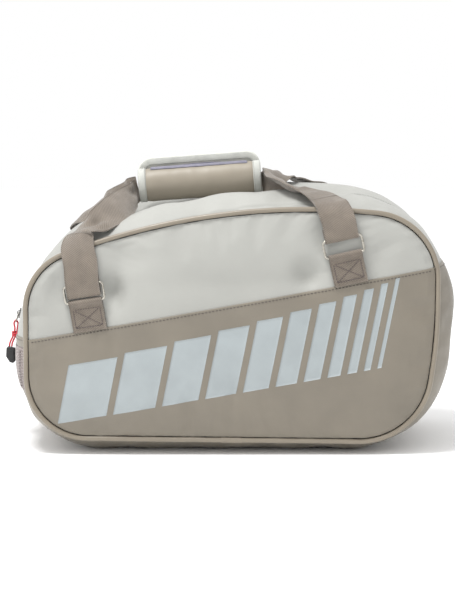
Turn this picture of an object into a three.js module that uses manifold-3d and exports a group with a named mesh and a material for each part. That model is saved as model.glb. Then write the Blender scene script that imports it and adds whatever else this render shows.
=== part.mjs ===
// A racket sports duffel bag: two domed side panels joined by a gusset, a zip over the top,
// two webbing carry handles on metal rings, and a padded grip wrap that holds them together.
// Millimetres. +X runs along the bag, -Y is the front panel, +Z is up, and the base rests on Z = 0.
import * as THREE from "three";
import Module from "manifold-3d";
import { mergeVertices } from "three/addons/utils/BufferGeometryUtils.js";

const wasm = await Module();
wasm.setup();

// ---- Driving dimensions -------------------------------------------------------------------

const GAP = 0.3; // left between pieces that touch
const WALL = 4; // padded laminate of the panels and the gusset
const LINING = 0.9;
const LINING_CLEAR = 1.5; // between the padded wall and its lining

// The seam outline, where panel, piping and gusset meet. Corners run clockwise seen from the front.
const SEAM_CORNERS = [
  { x: -243, z: 222, r: 70 },
  { x: -21.6, z: 305.3, r: 800 },
  { x: 243.6, z: 281.6, r: 80 },
  { x: 243.6, z: 141.5, r: 500 },
  { x: 226, z: 15.5, r: 85 },
  { x: -243, z: 21, r: 73 },
];
// The crest outline, halfway between the panels, where the gusset stands furthest out.
const CREST_CORNERS = [
  { x: -263, z: 233.5, r: 150 },
  { x: -21.6, z: 319.3, r: 650 },
  { x: 267, z: 292, r: 132 },
  { x: 267, z: 143, r: 350 },
  { x: 248, z: 0, r: 122 },
  { x: -263, z: 0, r: 110 },
];
const COLOUR_SEAM_LEFT_Z = 139; // the gusset is taupe below these heights, at its two ends
const COLOUR_SEAM_RIGHT_Z = 226;
const CORNER_STEPS = [6, 3, 7, 2, 4, 4]; // segments in each corner's arc
const EDGE_STEP = 75; // longest segment on a straight edge

const SEAM_Y = 126; // the piping's plane, each side
const GUSSET_Y = 122.6; // the gusset's edge, just inside the piping
const CREST_FLAT = 0.6; // share of the half depth over which the gusset is at its full bulge
const HUMP = { front: 2.5, back: 7 }; // the top rises this much either side of the zip
// and sinks along the zip, past the left shoulder
const SAG = { depth: 9, from: -178, to: -110, end: 110, share: 0.5 };
const ZIP_EDGE = 12.6; // half the width of the opening between the two top strips

const PANEL_INSET = 3.2;
const PANEL_Y = 127;
const PANEL_DOME = 14;
const PANEL_CENTRE = new THREE.Vector2(0, 155);
const PANEL_RINGS = [1, 0.88, 0.66, 0.36];
const LINING_RINGS = [1, 0.7];
const DIAGONAL_MID_Z = 181.2; // height of the two-tone seam at x = 0
const DIAGONAL_SLOPE = 0.18;

const PIPING_R = 2.8;
const PIPING_JOINT_HALF = 12;

const CHAIN_HALF = 2.8;
const CHAIN_TOP = 1.9;
const CHAIN_BOTTOM = -0.5;
const TAPE_TOP = -0.8;
const TAPE = 1.2;
const SLIDER_ANGLE = 10.4; // degrees up the crest's top left arc, at rest

const WEBBING = 40;
const WEBBING_T = 1.4;
const RIBBON_STEP = 9; // along a bending strap
const ANCHORS = [
  { name: "left", x: -165.6, lean: 9, slack: 12 },
  { name: "right", x: 140.5, lean: 12.5, slack: 0 },
]; // lean is in degrees, and slack is how far the strap's loop hangs below the ring's upper bar
const ANCHOR_LENGTH = 34; // from the diagonal seam to the ring's lower bar
const RING_PITCH = 20; // between the ring's two long bars
const RING_SPAN = 46.5;
const RING_WIRE_R = 1.5;
const RING_STAND_OFF = 4.3; // bar centre above the panel
const ANCHOR_LIFT = 0.9; // clear of the panel, which is domed under the flat anchor

const GRIP = { x: -38.6, z: 319.5, tilt: 4.2, length: 152, halfDepth: 16, halfHeight: 20 };
const GRIP_BINDING = 10;

const BOARD = { length: 238, width: 134, corner: 20, thickness: 3, x: 8 };

const LEFT_STRAP = { low: 77, high: 128, standOff: 2.4 }; // the grab strap at the left end

const COLOURS = {
  greyPanel: 0xd6d6d0,
  taupePanel: 0x978b7c,
  piping: 0x8c8071,
  webbing: 0x93857b,
  metal: 0xc9c7c0,
  lining: 0x8a8a94,
  tape: 0xcfcfc9,
  binding: 0xdcdcd5,
  cord: 0xc3162e,
  black: 0x17171a,
  board: 0x4b4b4d,
};

const rad = THREE.MathUtils.degToRad;
const group = new THREE.Group();
const bag = new THREE.Group();
group.add(bag);

// ---- Helpers ------------------------------------------------------------------------------

function material(colour, roughness = 0.6, metalness = 0) {
  return new THREE.MeshStandardMaterial({ color: colour, roughness, metalness });
}

function add(name, geometry, surface, parent = bag) {
  const mesh = new THREE.Mesh(geometry, surface);
  mesh.name = name;
  parent.add(mesh);
  return mesh;
}

function solidOf(geometry) {
  const bare = geometry.clone();
  bare.deleteAttribute("normal");
  bare.deleteAttribute("uv");
  const merged = mergeVertices(bare, 1e-3);
  const vertProperties = merged.attributes.position.array;
  const triVerts = new Uint32Array(merged.index.array);
  return new wasm.Manifold(new wasm.Mesh({ numProp: 3, vertProperties, triVerts }));
}

function geometryOf(solid) {
  const mesh = solid.getMesh();
  const points = new Float32Array(mesh.numVert * 3);
  for (let i = 0; i < mesh.numVert; i++) {
    const start = i * mesh.numProp;
    points.set(mesh.vertProperties.subarray(start, start + 3), i * 3);
  }
  return new THREE.BufferGeometry()
    .setAttribute("position", new THREE.BufferAttribute(points, 3))
    .setIndex(new THREE.BufferAttribute(new Uint32Array(mesh.triVerts), 1));
}

// An indexed geometry whose faces point out, whichever way round the triangles were listed.
function closedGeometry(points, triangles) {
  let volume = 0;
  for (const [a, b, c] of triangles) {
    volume += points[a].dot(new THREE.Vector3().crossVectors(points[b], points[c]));
  }
  const faces = volume < 0 ? triangles.map(([a, b, c]) => [a, c, b]) : triangles;
  const flat = new Float32Array(points.flatMap((p) => [p.x, p.y, p.z]));
  return new THREE.BufferGeometry()
    .setAttribute("position", new THREE.BufferAttribute(flat, 3))
    .setIndex(faces.flat());
}

// Joins rings of points, one after another, into one solid. In a ring, point j lies opposite
// point m-1-j, so an end is closed by quads between such pairs.
function loft(rings, { closed = false } = {}) {
  const m = rings[0].length;
  const points = rings.flat();
  const triangles = [];
  const quad = (a, b, c, d) => triangles.push([a, b, c], [a, c, d]);
  const last = closed ? rings.length : rings.length - 1;
  for (let i = 0; i < last; i++) {
    const next = ((i + 1) % rings.length) * m;
    for (let j = 0; j < m; j++) {
      const k = (j + 1) % m;
      // The far side is split along the same diagonals as the near side, so a thin wall stays whole.
      if (j < m / 2) quad(i * m + j, i * m + k, next + k, next + j);
      else quad(i * m + k, next + k, next + j, i * m + j);
    }
  }
  if (!closed) {
    const end = (rings.length - 1) * m;
    for (let j = 0; j < m / 2 - 1; j++) {
      quad(j, m - 1 - j, m - 2 - j, j + 1);
      quad(end + j, end + j + 1, end + m - 2 - j, end + m - 1 - j);
    }
  }
  return closedGeometry(points, triangles);
}

// A closed path of straight edges with a tangent arc at each corner, in the X-Z plane.
function roundedArcs(corners) {
  return corners.map((corner, i) => {
    const before = corners[(i + corners.length - 1) % corners.length];
    const after = corners[(i + 1) % corners.length];
    const into = new THREE.Vector2(corner.x - before.x, corner.z - before.z).normalize();
    const out = new THREE.Vector2(after.x - corner.x, after.z - corner.z).normalize();
    const turn = Math.acos(into.dot(out));
    const reach = corner.r * Math.tan(turn / 2);
    const start = new THREE.Vector2(corner.x, corner.z).addScaledVector(into, -reach);
    const normal = new THREE.Vector2(-into.y, into.x); // out of the bag, going clockwise
    const centre = start.clone().addScaledVector(normal, -corner.r);
    return { centre, radius: corner.r, from: Math.atan2(normal.y, normal.x), turn };
  });
}

function arcStation(arc, share) {
  const angle = arc.from - arc.turn * share;
  const normal = new THREE.Vector2(Math.cos(angle), Math.sin(angle));
  return { point: arc.centre.clone().addScaledVector(normal, arc.radius), normal };
}

// Points along a rounded outline with their outward normals, clockwise from the first corner.
function outlineStations(corners, steps) {
  const arcs = roundedArcs(corners);
  const stations = [];
  arcs.forEach((arc, i) => {
    for (let k = 0; k <= steps[i]; k++) stations.push(arcStation(arc, k / steps[i]));
    const from = stations.at(-1);
    const to = arcStation(arcs[(i + 1) % arcs.length], 0);
    const pieces = Math.ceil(from.point.distanceTo(to.point) / EDGE_STEP);
    for (let k = 1; k < pieces; k++) {
      stations.push({ point: from.point.clone().lerp(to.point, k / pieces), normal: from.normal });
    }
  });
  return stations;
}

// ---- The seam outline and the gusset's surface --------------------------------------------

const FINE = CORNER_STEPS.map(() => 24);
const crestLine = outlineStations(CREST_CORNERS, FINE).map((s) => s.point);

// How far the crest is from a point of the seam, straight out along its normal.
function bulgeAt({ point, normal }) {
  let nearest = Infinity;
  crestLine.forEach((a, i) => {
    const edge = crestLine[(i + 1) % crestLine.length].clone().sub(a);
    const cross = normal.x * edge.y - normal.y * edge.x;
    if (Math.abs(cross) < 1e-9) return;
    const to = a.clone().sub(point);
    const along = (to.x * edge.y - to.y * edge.x) / cross;
    const share = (to.x * normal.y - to.y * normal.x) / cross;
    if (along > 0 && share >= 0 && share <= 1) nearest = Math.min(nearest, along);
  });
  return nearest;
}

const seam = outlineStations(SEAM_CORNERS, CORNER_STEPS).map((s) => ({ ...s, bulge: bulgeAt(s) }));

// The left end of the colour seam is on the last straight edge, which runs up the left end.
const leftSeam = { point: new THREE.Vector2(-243, COLOUR_SEAM_LEFT_Z), normal: new THREE.Vector2(-1, 0) };
leftSeam.bulge = bulgeAt(leftSeam);
const aboveLeft = seam.filter((s) => s.point.x < -242.9 && s.point.y > COLOUR_SEAM_LEFT_Z + 5);
const belowLeft = seam.filter((s) => s.point.x < -242.9 && s.point.y < COLOUR_SEAM_LEFT_Z - 5);
const isRightSeam = ({ point }) => point.x > 200 && point.y < COLOUR_SEAM_RIGHT_Z;
const rightSeamIndex = seam.findIndex(isRightSeam);
const runTop = seam.slice(0, rightSeamIndex + 1);
const runRest = seam.slice(rightSeamIndex).filter((s) => !aboveLeft.includes(s) && !belowLeft.includes(s));
const topRun = [leftSeam, ...aboveLeft.filter((s) => s !== seam[0]), ...runTop];
const baseRun = [...runRest, ...belowLeft, leftSeam];

function bulgeShare(v) {
  const outer = Math.max(0, Math.abs(v) - CREST_FLAT) / (1 - CREST_FLAT);
  return 1 - outer * outer;
}

// The gusset's outer surface at a station and a share v of the half depth, raised by lift.
function gussetPoint(station, v, lift) {
  const up = Math.max(0, station.normal.y) ** 2;
  const hump = (v < 0 ? HUMP.front : HUMP.back) * up * Math.sin(Math.PI * Math.abs(v)) ** 2;
  const along = THREE.MathUtils.smoothstep(station.point.x, SAG.from, SAG.to);
  const ends = 1 - THREE.MathUtils.smoothstep(station.point.x, SAG.end, SAG.end + 60);
  const sag = SAG.depth * up * along * ends * (1 - THREE.MathUtils.smoothstep(Math.abs(v), 0, SAG.share));
  const out = station.bulge * bulgeShare(v) + hump - sag + lift;
  const flat = station.point.clone().addScaledVector(station.normal, out);
  return new THREE.Vector3(flat.x, v * GUSSET_Y, flat.y);
}

// A band of the gusset between two depths, with its outer and inner faces at two lifts.
function gussetBand(stations, depths, outer, inner) {
  const rings = stations.map((s) => [
    ...depths.map((v) => gussetPoint(s, v, outer)),
    ...[...depths].reverse().map((v) => gussetPoint(s, v, inner)),
  ]);
  return loft(rings);
}

// Shortens a run by a gap at each end, so that bands laid end to end don't touch.
function trimmed(run, gap) {
  const cut = (end, next) => {
    const share = gap / end.point.distanceTo(next.point);
    const point = end.point.clone().lerp(next.point, share);
    return { ...end, point, bulge: THREE.MathUtils.lerp(end.bulge, next.bulge, share) };
  };
  return [cut(run[0], run[1]), ...run.slice(1, -1), cut(run.at(-1), run.at(-2))];
}

// ---- Gusset -------------------------------------------------------------------------------

const EDGE_DEPTHS = [1, 0.86, 0.72, CREST_FLAT, 0.36];
const zipShare = ZIP_EDGE / GUSSET_Y;
const sideDepths = (side) => [...EDGE_DEPTHS, zipShare].map((v) => side * v);
const baseDepths = [...EDGE_DEPTHS, ...[...EDGE_DEPTHS].reverse().map((v) => -v)];

function addGusset() {
  const top = trimmed(topRun, GAP);
  const base = trimmed(baseRun, GAP);
  const grey = material(COLOURS.greyPanel, 0.55);
  add("gusset_top_front", gussetBand(top, sideDepths(-1), 0, -WALL), grey);
  add("gusset_top_back", gussetBand(top, sideDepths(1), 0, -WALL), grey);
  add("gusset_base", gussetBand(base, baseDepths, 0, -WALL), material(COLOURS.taupePanel, 0.5));
  const inside = -WALL - LINING_CLEAR;
  const lining = gussetBand(base, baseDepths.map((v) => v * 0.985), inside, inside - LINING);
  add("gusset_lining", lining, material(COLOURS.lining, 0.8));
}

// ---- Piping -------------------------------------------------------------------------------

function circle(sides, draw) {
  return Array.from({ length: sides }, (_, j) => {
    const angle = ((j + 0.5) / sides) * 2 * Math.PI;
    return draw(Math.cos(angle), Math.sin(angle));
  });
}

function pipingRing({ point, normal }, y, radius) {
  return circle(6, (c, s) => {
    const flat = point.clone().addScaledVector(normal, radius * c);
    return new THREE.Vector3(flat.x, y + radius * s, flat.y);
  });
}

function bottomStation(x) {
  const bottomZ = THREE.MathUtils.mapLinear(x, 226, -243, 15.5, 21);
  const normal = new THREE.Vector2(-5.5, -469).normalize();
  return { point: new THREE.Vector2(x, bottomZ), normal };
}

function addPiping(side, name) {
  const y = side * SEAM_Y;
  const start = PIPING_JOINT_HALF + GAP;
  const clear = (s) => s.point.y > 30 || Math.abs(s.point.x) > start + 4;
  const around = [...topRun, ...baseRun.slice(1, -1)].filter(clear);
  const split = around.findIndex((s) => s.point.y < 30 && s.point.x < 0);
  const run = [
    bottomStation(-start),
    ...around.slice(split),
    ...around.slice(0, split),
    bottomStation(start),
  ];
  const joint = [-PIPING_JOINT_HALF, PIPING_JOINT_HALF].map((x) => bottomStation(x));
  const surface = material(COLOURS.piping, 0.45);
  add(`${name}_piping`, loft(run.map((s) => pipingRing(s, y, PIPING_R))), surface);
  add(`${name}_piping_joint`, loft(joint.map((s) => pipingRing(s, y, PIPING_R))), surface);
}

// ---- Front and back panels ----------------------------------------------------------------

const panelEdge = [...topRun, ...baseRun.slice(1, -1)].map(({ point, normal }) =>
  point.clone().addScaledVector(normal, -PANEL_INSET),
);

const domeAt = (share) => PANEL_DOME * (1 - share ** 2.4);

// A domed plate, out from the panel's plane, between two depths of its wall.
function domedPlate(side, near, far, shares = PANEL_RINGS) {
  const layers = [near, far].map((depth) => {
    const rings = shares.map((share) =>
      panelEdge.map((edge) => {
        const flat = PANEL_CENTRE.clone().lerp(edge, share);
        return new THREE.Vector3(flat.x, side * (depth + domeAt(share)), flat.y);
      }),
    );
    const middle = new THREE.Vector3(PANEL_CENTRE.x, side * (depth + PANEL_DOME), PANEL_CENTRE.y);
    return { rings, middle };
  });
  const n = panelEdge.length;
  const points = layers.flatMap(({ rings, middle }) => [...rings.flat(), middle]);
  const triangles = [];
  const layerSize = shares.length * n + 1;
  [0, 1].forEach((layer) => {
    const base = layer * layerSize;
    const face = (a, b, c) => triangles.push(layer ? [a, c, b] : [a, b, c]);
    for (let i = 0; i < n; i++) {
      const j = (i + 1) % n;
      for (let k = 0; k < shares.length - 1; k++) {
        const outer = base + k * n;
        const inner = outer + n;
        face(outer + i, outer + j, inner + j);
        face(outer + i, inner + j, inner + i);
      }
      const innermost = base + (shares.length - 1) * n;
      face(innermost + i, innermost + j, base + layerSize - 1);
    }
  });
  for (let i = 0; i < n; i++) {
    const j = (i + 1) % n;
    triangles.push([i, layerSize + j, j], [i, layerSize + i, layerSize + j]);
  }
  return closedGeometry(points, triangles);
}

// Half of space above (+1) or below (-1) the diagonal seam, as a large box.
function diagonalSide(sign) {
  const size = 900;
  const box = new THREE.BoxGeometry(size, size, size);
  box.translate(0, 0, sign * (size / 2 + GAP / 2));
  box.rotateY(-Math.atan(DIAGONAL_SLOPE));
  box.translate(0, 0, DIAGONAL_MID_Z);
  return solidOf(box);
}

function addPanels(side, name) {
  const plate = solidOf(domedPlate(side, PANEL_Y - WALL, PANEL_Y));
  const upper = geometryOf(plate.intersect(diagonalSide(1)));
  const lower = geometryOf(plate.intersect(diagonalSide(-1)));
  add(`${name}_panel_upper`, upper, material(COLOURS.greyPanel, 0.5));
  add(`${name}_panel_lower`, lower, material(COLOURS.taupePanel, 0.42));
  const inside = PANEL_Y - WALL - 3;
  const lining = domedPlate(side, inside - LINING, inside, LINING_RINGS);
  lining.scale(0.975, 1, 0.96);
  lining.translate(0, 0, 0.04 * PANEL_CENTRE.y);
  add(`${name}_lining`, lining, material(COLOURS.lining, 0.8));
}

// The share of the way out from the panel's centre at which a point lies, 1 on its edge.
function panelShare(x, z) {
  const ray = new THREE.Vector2(x, z).sub(PANEL_CENTRE);
  let share = 0;
  panelEdge.forEach((a, i) => {
    const from = a.clone().sub(PANEL_CENTRE);
    const edge = panelEdge[(i + 1) % panelEdge.length].clone().sub(a);
    const cross = ray.x * edge.y - ray.y * edge.x;
    const along = (from.x * edge.y - from.y * edge.x) / cross;
    const part = (from.x * ray.y - from.y * ray.x) / cross;
    if (along > 0 && part >= 0 && part <= 1) share = 1 / along;
  });
  return share;
}

const panelDepth = (x, z) => PANEL_Y + domeAt(Math.min(1, panelShare(x, z)));

// ---- Base board and zip -------------------------------------------------------------------

function roundedRectangle(width, height, radius) {
  const shape = new THREE.Shape();
  const x = width / 2 - radius;
  const y = height / 2 - radius;
  shape.absarc(x, y, radius, 0, Math.PI / 2);
  shape.absarc(-x, y, radius, Math.PI / 2, Math.PI);
  shape.absarc(-x, -y, radius, Math.PI, 1.5 * Math.PI);
  shape.absarc(x, -y, radius, 1.5 * Math.PI, 2 * Math.PI);
  return shape;
}

function addBaseBoard() {
  const outline = roundedRectangle(BOARD.length, BOARD.width, BOARD.corner);
  const settings = { depth: BOARD.thickness, bevelEnabled: false, curveSegments: 4 };
  const board = new THREE.ExtrudeGeometry(outline, settings);
  board.translate(BOARD.x, 0, WALL + LINING_CLEAR + LINING + GAP);
  add("base_board", board, material(COLOURS.board, 0.9));
}

function addZip() {
  const run = trimmed(topRun, 2);
  const chainRun = trimmed(topRun, 6);
  const outer = ZIP_EDGE - GAP;
  const inner = GAP;
  [
    ["front", -1],
    ["back", 1],
  ].forEach(([name, side]) => {
    const depths = [outer, inner].map((y) => (side * y) / GUSSET_Y);
    const tape = gussetBand(run, depths, TAPE_TOP, TAPE_TOP - TAPE);
    add(`zip_tape_${name}`, tape, material(COLOURS.tape, 0.8));
  });
  const chainDepths = [-CHAIN_HALF, CHAIN_HALF].map((y) => y / GUSSET_Y);
  const chain = gussetBand(chainRun, chainDepths, CHAIN_TOP, CHAIN_BOTTOM);
  add("zip_chain", chain, material(COLOURS.tape, 0.5));
  [
    ["left", topRun[0], topRun[1]],
    ["right", topRun.at(-1), topRun.at(-2)],
  ].forEach(([name, end, next]) => {
    const stopRun = trimmed([end, next], 2.6).map((s, i) => (i ? trimmed([end, next], 5.4)[0] : s));
    const stop = gussetBand(stopRun, chainDepths, CHAIN_TOP, CHAIN_BOTTOM);
    add(`zip_stop_${name}`, stop, material(COLOURS.metal, 0.3, 1));
  });
}

// ---- Zip slider, puller, cord and toggle --------------------------------------------------

const zipArc = roundedArcs(CREST_CORNERS)[0];

// A frame on the zip: its local X runs up the chain, Y is the bag's, and Z points out.
function sliderFrame() {
  const angle = rad(SLIDER_ANGLE);
  const out = new THREE.Vector3(-Math.cos(angle), 0, Math.sin(angle));
  const along = new THREE.Vector3(Math.sin(angle), 0, Math.cos(angle));
  const across = new THREE.Vector3().crossVectors(out, along);
  const frame = new THREE.Group();
  frame.matrixAutoUpdate = false;
  frame.matrix.makeBasis(along, across, out);
  frame.matrix.setPosition(
    zipArc.centre.x - zipArc.radius * Math.cos(angle),
    0,
    zipArc.centre.y + zipArc.radius * Math.sin(angle),
  );
  bag.add(frame);
  return frame;
}

function addSlider() {
  const plateBottom = 2.7;
  const plateTop = 4;
  const outline = new THREE.Shape();
  outline.moveTo(-6.5, -3.8);
  outline.lineTo(2.5, -5.2);
  outline.quadraticCurveTo(6.5, -5.2, 6.5, 0);
  outline.quadraticCurveTo(6.5, 5.2, 2.5, 5.2);
  outline.lineTo(-6.5, 3.8);
  const thickness = plateTop - plateBottom;
  const cut = { depth: thickness, bevelEnabled: false, curveSegments: 4 };
  const plate = new THREE.ExtrudeGeometry(outline, cut);
  plate.translate(0, 0, plateBottom);
  let body = solidOf(plate);
  [-1, 1].forEach((side) => {
    const flange = new THREE.BoxGeometry(9, 1, plateBottom + 0.6);
    flange.translate(-1.5, side * 4, (plateBottom + 0.6) / 2 + 0.4);
    body = body.add(solidOf(flange));
  });
  const arch = new THREE.Shape();
  arch.absarc(0, 0, 3.4, 0, Math.PI);
  arch.absarc(0, 0, 1.9, Math.PI, 0, true);
  const crown = new THREE.ExtrudeGeometry(arch, { depth: 2.2, bevelEnabled: false, curveSegments: 6 });
  crown.translate(0, 0, -1.1);
  crown.rotateX(Math.PI / 2);
  crown.translate(0, 0, plateTop - 0.2);
  body = body.add(solidOf(crown));
  add("zip_slider", geometryOf(body), material(COLOURS.metal, 0.3, 1), sliderFrame());
}

// A closed loop of wire round a rounded rectangle, in local X-Y.
function wireLoop(width, height, corner, wire, sides = 6, cornerSteps = 2) {
  const x = width / 2 - corner;
  const y = height / 2 - corner;
  const centres = [
    [x, y],
    [-x, y],
    [-x, -y],
    [x, -y],
  ];
  const rings = centres.flatMap(([cx, cy], quarter) =>
    Array.from({ length: cornerSteps + 1 }, (_, k) => {
      const angle = (quarter + k / cornerSteps) * (Math.PI / 2);
      const outward = new THREE.Vector3(Math.cos(angle), Math.sin(angle), 0);
      const centre = new THREE.Vector3(cx, cy, 0).addScaledVector(outward, corner);
      return circle(sides, (c, s) => {
        const point = centre.clone().addScaledVector(outward, wire * c);
        point.z += wire * s;
        return point;
      });
    }),
  );
  return loft(rings, { closed: true });
}

// Where the puller hangs from, the top of the cord's loop, and the toggle, down the left end.
const PULLER_TOP = { x: -265.3, z: 155.6 };
const PULLER = { length: 12.4, width: 6.4, wire: 0.65, lean: 17 }; // length between its bars
const CORD_R = 1.1;
const TOGGLE = { x: -276, z: 102.5, height: 21, width: 11.5, depth: 7 };

const pullerAlong = new THREE.Vector3(-Math.sin(rad(PULLER.lean)), 0, -Math.cos(rad(PULLER.lean)));

function addPuller() {
  const loop = wireLoop(PULLER.width, PULLER.length, 2, PULLER.wire);
  loop.rotateX(Math.PI / 2);
  loop.rotateZ(Math.PI / 2);
  loop.translate(0, 0, -PULLER.length / 2);
  const puller = add("zip_puller", loop, material(COLOURS.metal, 0.3, 1));
  puller.position.set(PULLER_TOP.x, 0, PULLER_TOP.z);
  puller.rotation.y = rad(PULLER.lean);
}

// The cord: out of the toggle, up and over the puller's lower bar, and back into the toggle.
function cordPoints() {
  const bar = new THREE.Vector3(PULLER_TOP.x, 0, PULLER_TOP.z);
  bar.addScaledVector(pullerAlong, PULLER.length);
  const foot = TOGGLE.z + TOGGLE.height / 2 + GAP;
  const over = PULLER.wire + CORD_R + 2 * GAP;
  return [
    [TOGGLE.x + 1.5, foot],
    [TOGGLE.x + 1.9, foot + 3],
    [TOGGLE.x + 3.3, foot + 7],
    [bar.x - 1.5, bar.z - 19],
    [bar.x + 0.3, bar.z - 15],
    [bar.x + 1.5, bar.z - 8],
    [bar.x + over, bar.z - 1],
    [bar.x, bar.z + over],
    [bar.x - over, bar.z - 1],
    [bar.x - 1.5, bar.z - 8],
    [bar.x - 2.7, bar.z - 15],
    [bar.x - 4.5, bar.z - 19],
    [TOGGLE.x + 0.3, foot + 7],
    [TOGGLE.x - 1.1, foot + 3],
    [TOGGLE.x - 1.5, foot],
  ].map(([x, z]) => new THREE.Vector3(x, 0, z));
}

function addCordAndToggle() {
  const section = new THREE.Shape();
  section.absarc(0, 0, CORD_R, 0, 2 * Math.PI);
  const route = new THREE.CatmullRomCurve3(cordPoints());
  const cord = new THREE.ExtrudeGeometry(section, { steps: 44, extrudePath: route, curveSegments: 4 });
  add("pull_cord", cord, material(COLOURS.cord, 0.8));
  const { width, height, depth } = TOGGLE;
  const outline = new THREE.Shape();
  outline.moveTo(-width * 0.3, height / 2);
  outline.lineTo(width * 0.5, height * 0.42);
  outline.lineTo(width * 0.5, -height * 0.38);
  outline.lineTo(width * 0.28, -height / 2);
  outline.lineTo(-width * 0.1, -height * 0.45);
  outline.lineTo(-width * 0.5, -height * 0.1);
  outline.lineTo(-width * 0.45, height * 0.4);
  const toggle = new THREE.ExtrudeGeometry(outline, {
    depth: depth - 2,
    bevelThickness: 1,
    bevelSize: 0.8,
    bevelOffset: -0.8,
    bevelSegments: 1,
  });
  toggle.rotateX(Math.PI / 2);
  toggle.translate(TOGGLE.x, (depth - 2) / 2, TOGGLE.z);
  add("pull_toggle", toggle, material(COLOURS.black, 0.4));
}

// ---- Grab strap across the left end -------------------------------------------------------

function addGrabStrap() {
  const { low, high, standOff } = LEFT_STRAP;
  const heights = [low, (low + high) / 2, high];
  const stations = heights.map((z) => {
    const station = { point: new THREE.Vector2(-243, z), normal: new THREE.Vector2(-1, 0) };
    if (z < 100) station.point.x = -170 - Math.sqrt(73 ** 2 - (94 - z) ** 2);
    station.bulge = bulgeAt(station);
    return station;
  });
  const depths = [0.97, 0.86, 0.72, 0.6, 0.36, 0.1, -0.1, -0.36, -0.6, -0.72, -0.86, -0.97];
  const lift = (v) => 0.6 + standOff * bulgeShare(v);
  const rings = stations.map((s) => [
    ...depths.map((v) => gussetPoint(s, v, lift(v) + 1.6)),
    ...[...depths].reverse().map((v) => gussetPoint(s, v, lift(v))),
  ]);
  add("end_grab_strap", loft(rings), material(COLOURS.webbing, 0.85));
}

// ---- Strap anchors and rings on a panel ---------------------------------------------------

// A frame on a panel: X across the strap, Y up it, Z out of the bag. It starts on the diagonal seam.
function anchorFrame(anchor, side) {
  const z = DIAGONAL_MID_Z + DIAGONAL_SLOPE * anchor.x;
  const lean = rad(anchor.lean);
  const reach = ANCHOR_LENGTH + RING_PITCH;
  const surface = (sideways, upwards) => {
    const x = anchor.x + Math.cos(lean) * sideways - Math.sin(lean) * upwards;
    const height = z + Math.sin(lean) * sideways + Math.cos(lean) * upwards;
    return new THREE.Vector3(x, side * panelDepth(x, height), height);
  };
  const origin = surface(0, 0);
  const up = surface(0, reach).sub(origin).normalize();
  const half = WEBBING / 2;
  const across = surface(-side * half, reach / 2).sub(surface(side * half, reach / 2));
  const out = new THREE.Vector3().crossVectors(across, up).normalize();
  across.crossVectors(up, out);
  origin.addScaledVector(out, ANCHOR_LIFT);
  return new THREE.Matrix4().makeBasis(across, up, out).setPosition(origin);
}

function frameGroup(matrix) {
  const frame = new THREE.Group();
  frame.matrixAutoUpdate = false;
  frame.matrix.copy(matrix);
  bag.add(frame);
  return frame;
}

// The anchor seen from its side: a doubled strap, with an eye round the ring's lower bar.
function addAnchor(name, matrix) {
  const eye = RING_STAND_OFF;
  const outer = RING_WIRE_R + 0.4 + WEBBING_T;
  const shape = new THREE.Shape();
  const flat = 3.2;
  const base = eye - outer;
  shape.moveTo(2, base);
  shape.lineTo(ANCHOR_LENGTH - 4, base);
  shape.absarc(ANCHOR_LENGTH, eye, outer, -0.6 * Math.PI, 0.62 * Math.PI);
  shape.lineTo(ANCHOR_LENGTH - 9, base + flat);
  shape.lineTo(2, base + flat);
  const hole = new THREE.Path();
  hole.absarc(ANCHOR_LENGTH, eye, RING_WIRE_R + 0.4, 0, 2 * Math.PI, true);
  shape.holes.push(hole);
  const strap = new THREE.ExtrudeGeometry(shape, { depth: WEBBING, bevelEnabled: false, curveSegments: 8 });
  // The shape's X runs up the panel and its Y out of it, so it is extruded across the strap.
  strap.translate(0, 0, -WEBBING / 2);
  strap.applyMatrix4(new THREE.Matrix4().makeBasis(
    new THREE.Vector3(0, 1, 0),
    new THREE.Vector3(0, 0, 1),
    new THREE.Vector3(1, 0, 0),
  ));
  add(`strap_anchor_${name}`, strap, material(COLOURS.webbing, 0.85), frameGroup(matrix));
}

function addRing(name, matrix) {
  const loop = wireLoop(RING_SPAN, RING_PITCH, 3, RING_WIRE_R, 8);
  loop.translate(0, ANCHOR_LENGTH + RING_PITCH / 2, RING_STAND_OFF);
  add(`strap_ring_${name}`, loop, material(COLOURS.metal, 0.25, 1), frameGroup(matrix));
}

// ---- Webbing legs -------------------------------------------------------------------------

// A strap along { at, across } stations, where across points over its width, with smooth bends
// between them.
function ribbon(stations, thickness) {
  const path = new THREE.CatmullRomCurve3(stations.map((s) => s.at), false, "centripetal");
  const count = stations.length - 1;
  const widthShares = [-1, -0.5, 0, 0.5, 1];
  const rings = [];
  stations.forEach((station, i) => {
    const next = stations[Math.min(count, i + 1)];
    const pieces = i < count ? Math.max(1, Math.round(station.at.distanceTo(next.at) / RIBBON_STEP)) : 1;
    for (let k = 0; k < pieces; k++) {
      const t = (i + k / pieces) / count;
      const along = path.getTangent(Math.min(t, 1));
      const across = station.across.clone().lerp(next.across, k / pieces);
      const over = across.addScaledVector(along, -across.dot(along)).normalize();
      const normal = new THREE.Vector3().crossVectors(over, along).multiplyScalar(thickness / 2);
      const at = path.getPoint(Math.min(t, 1));
      const line = widthShares.map((w) => at.clone().addScaledVector(over, (w * WEBBING) / 2));
      const far = [...line].reverse().map((p) => p.clone().add(normal));
      rings.push([...line.map((p) => p.clone().sub(normal)), ...far]);
    }
  });
  return loft(rings);
}

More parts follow.
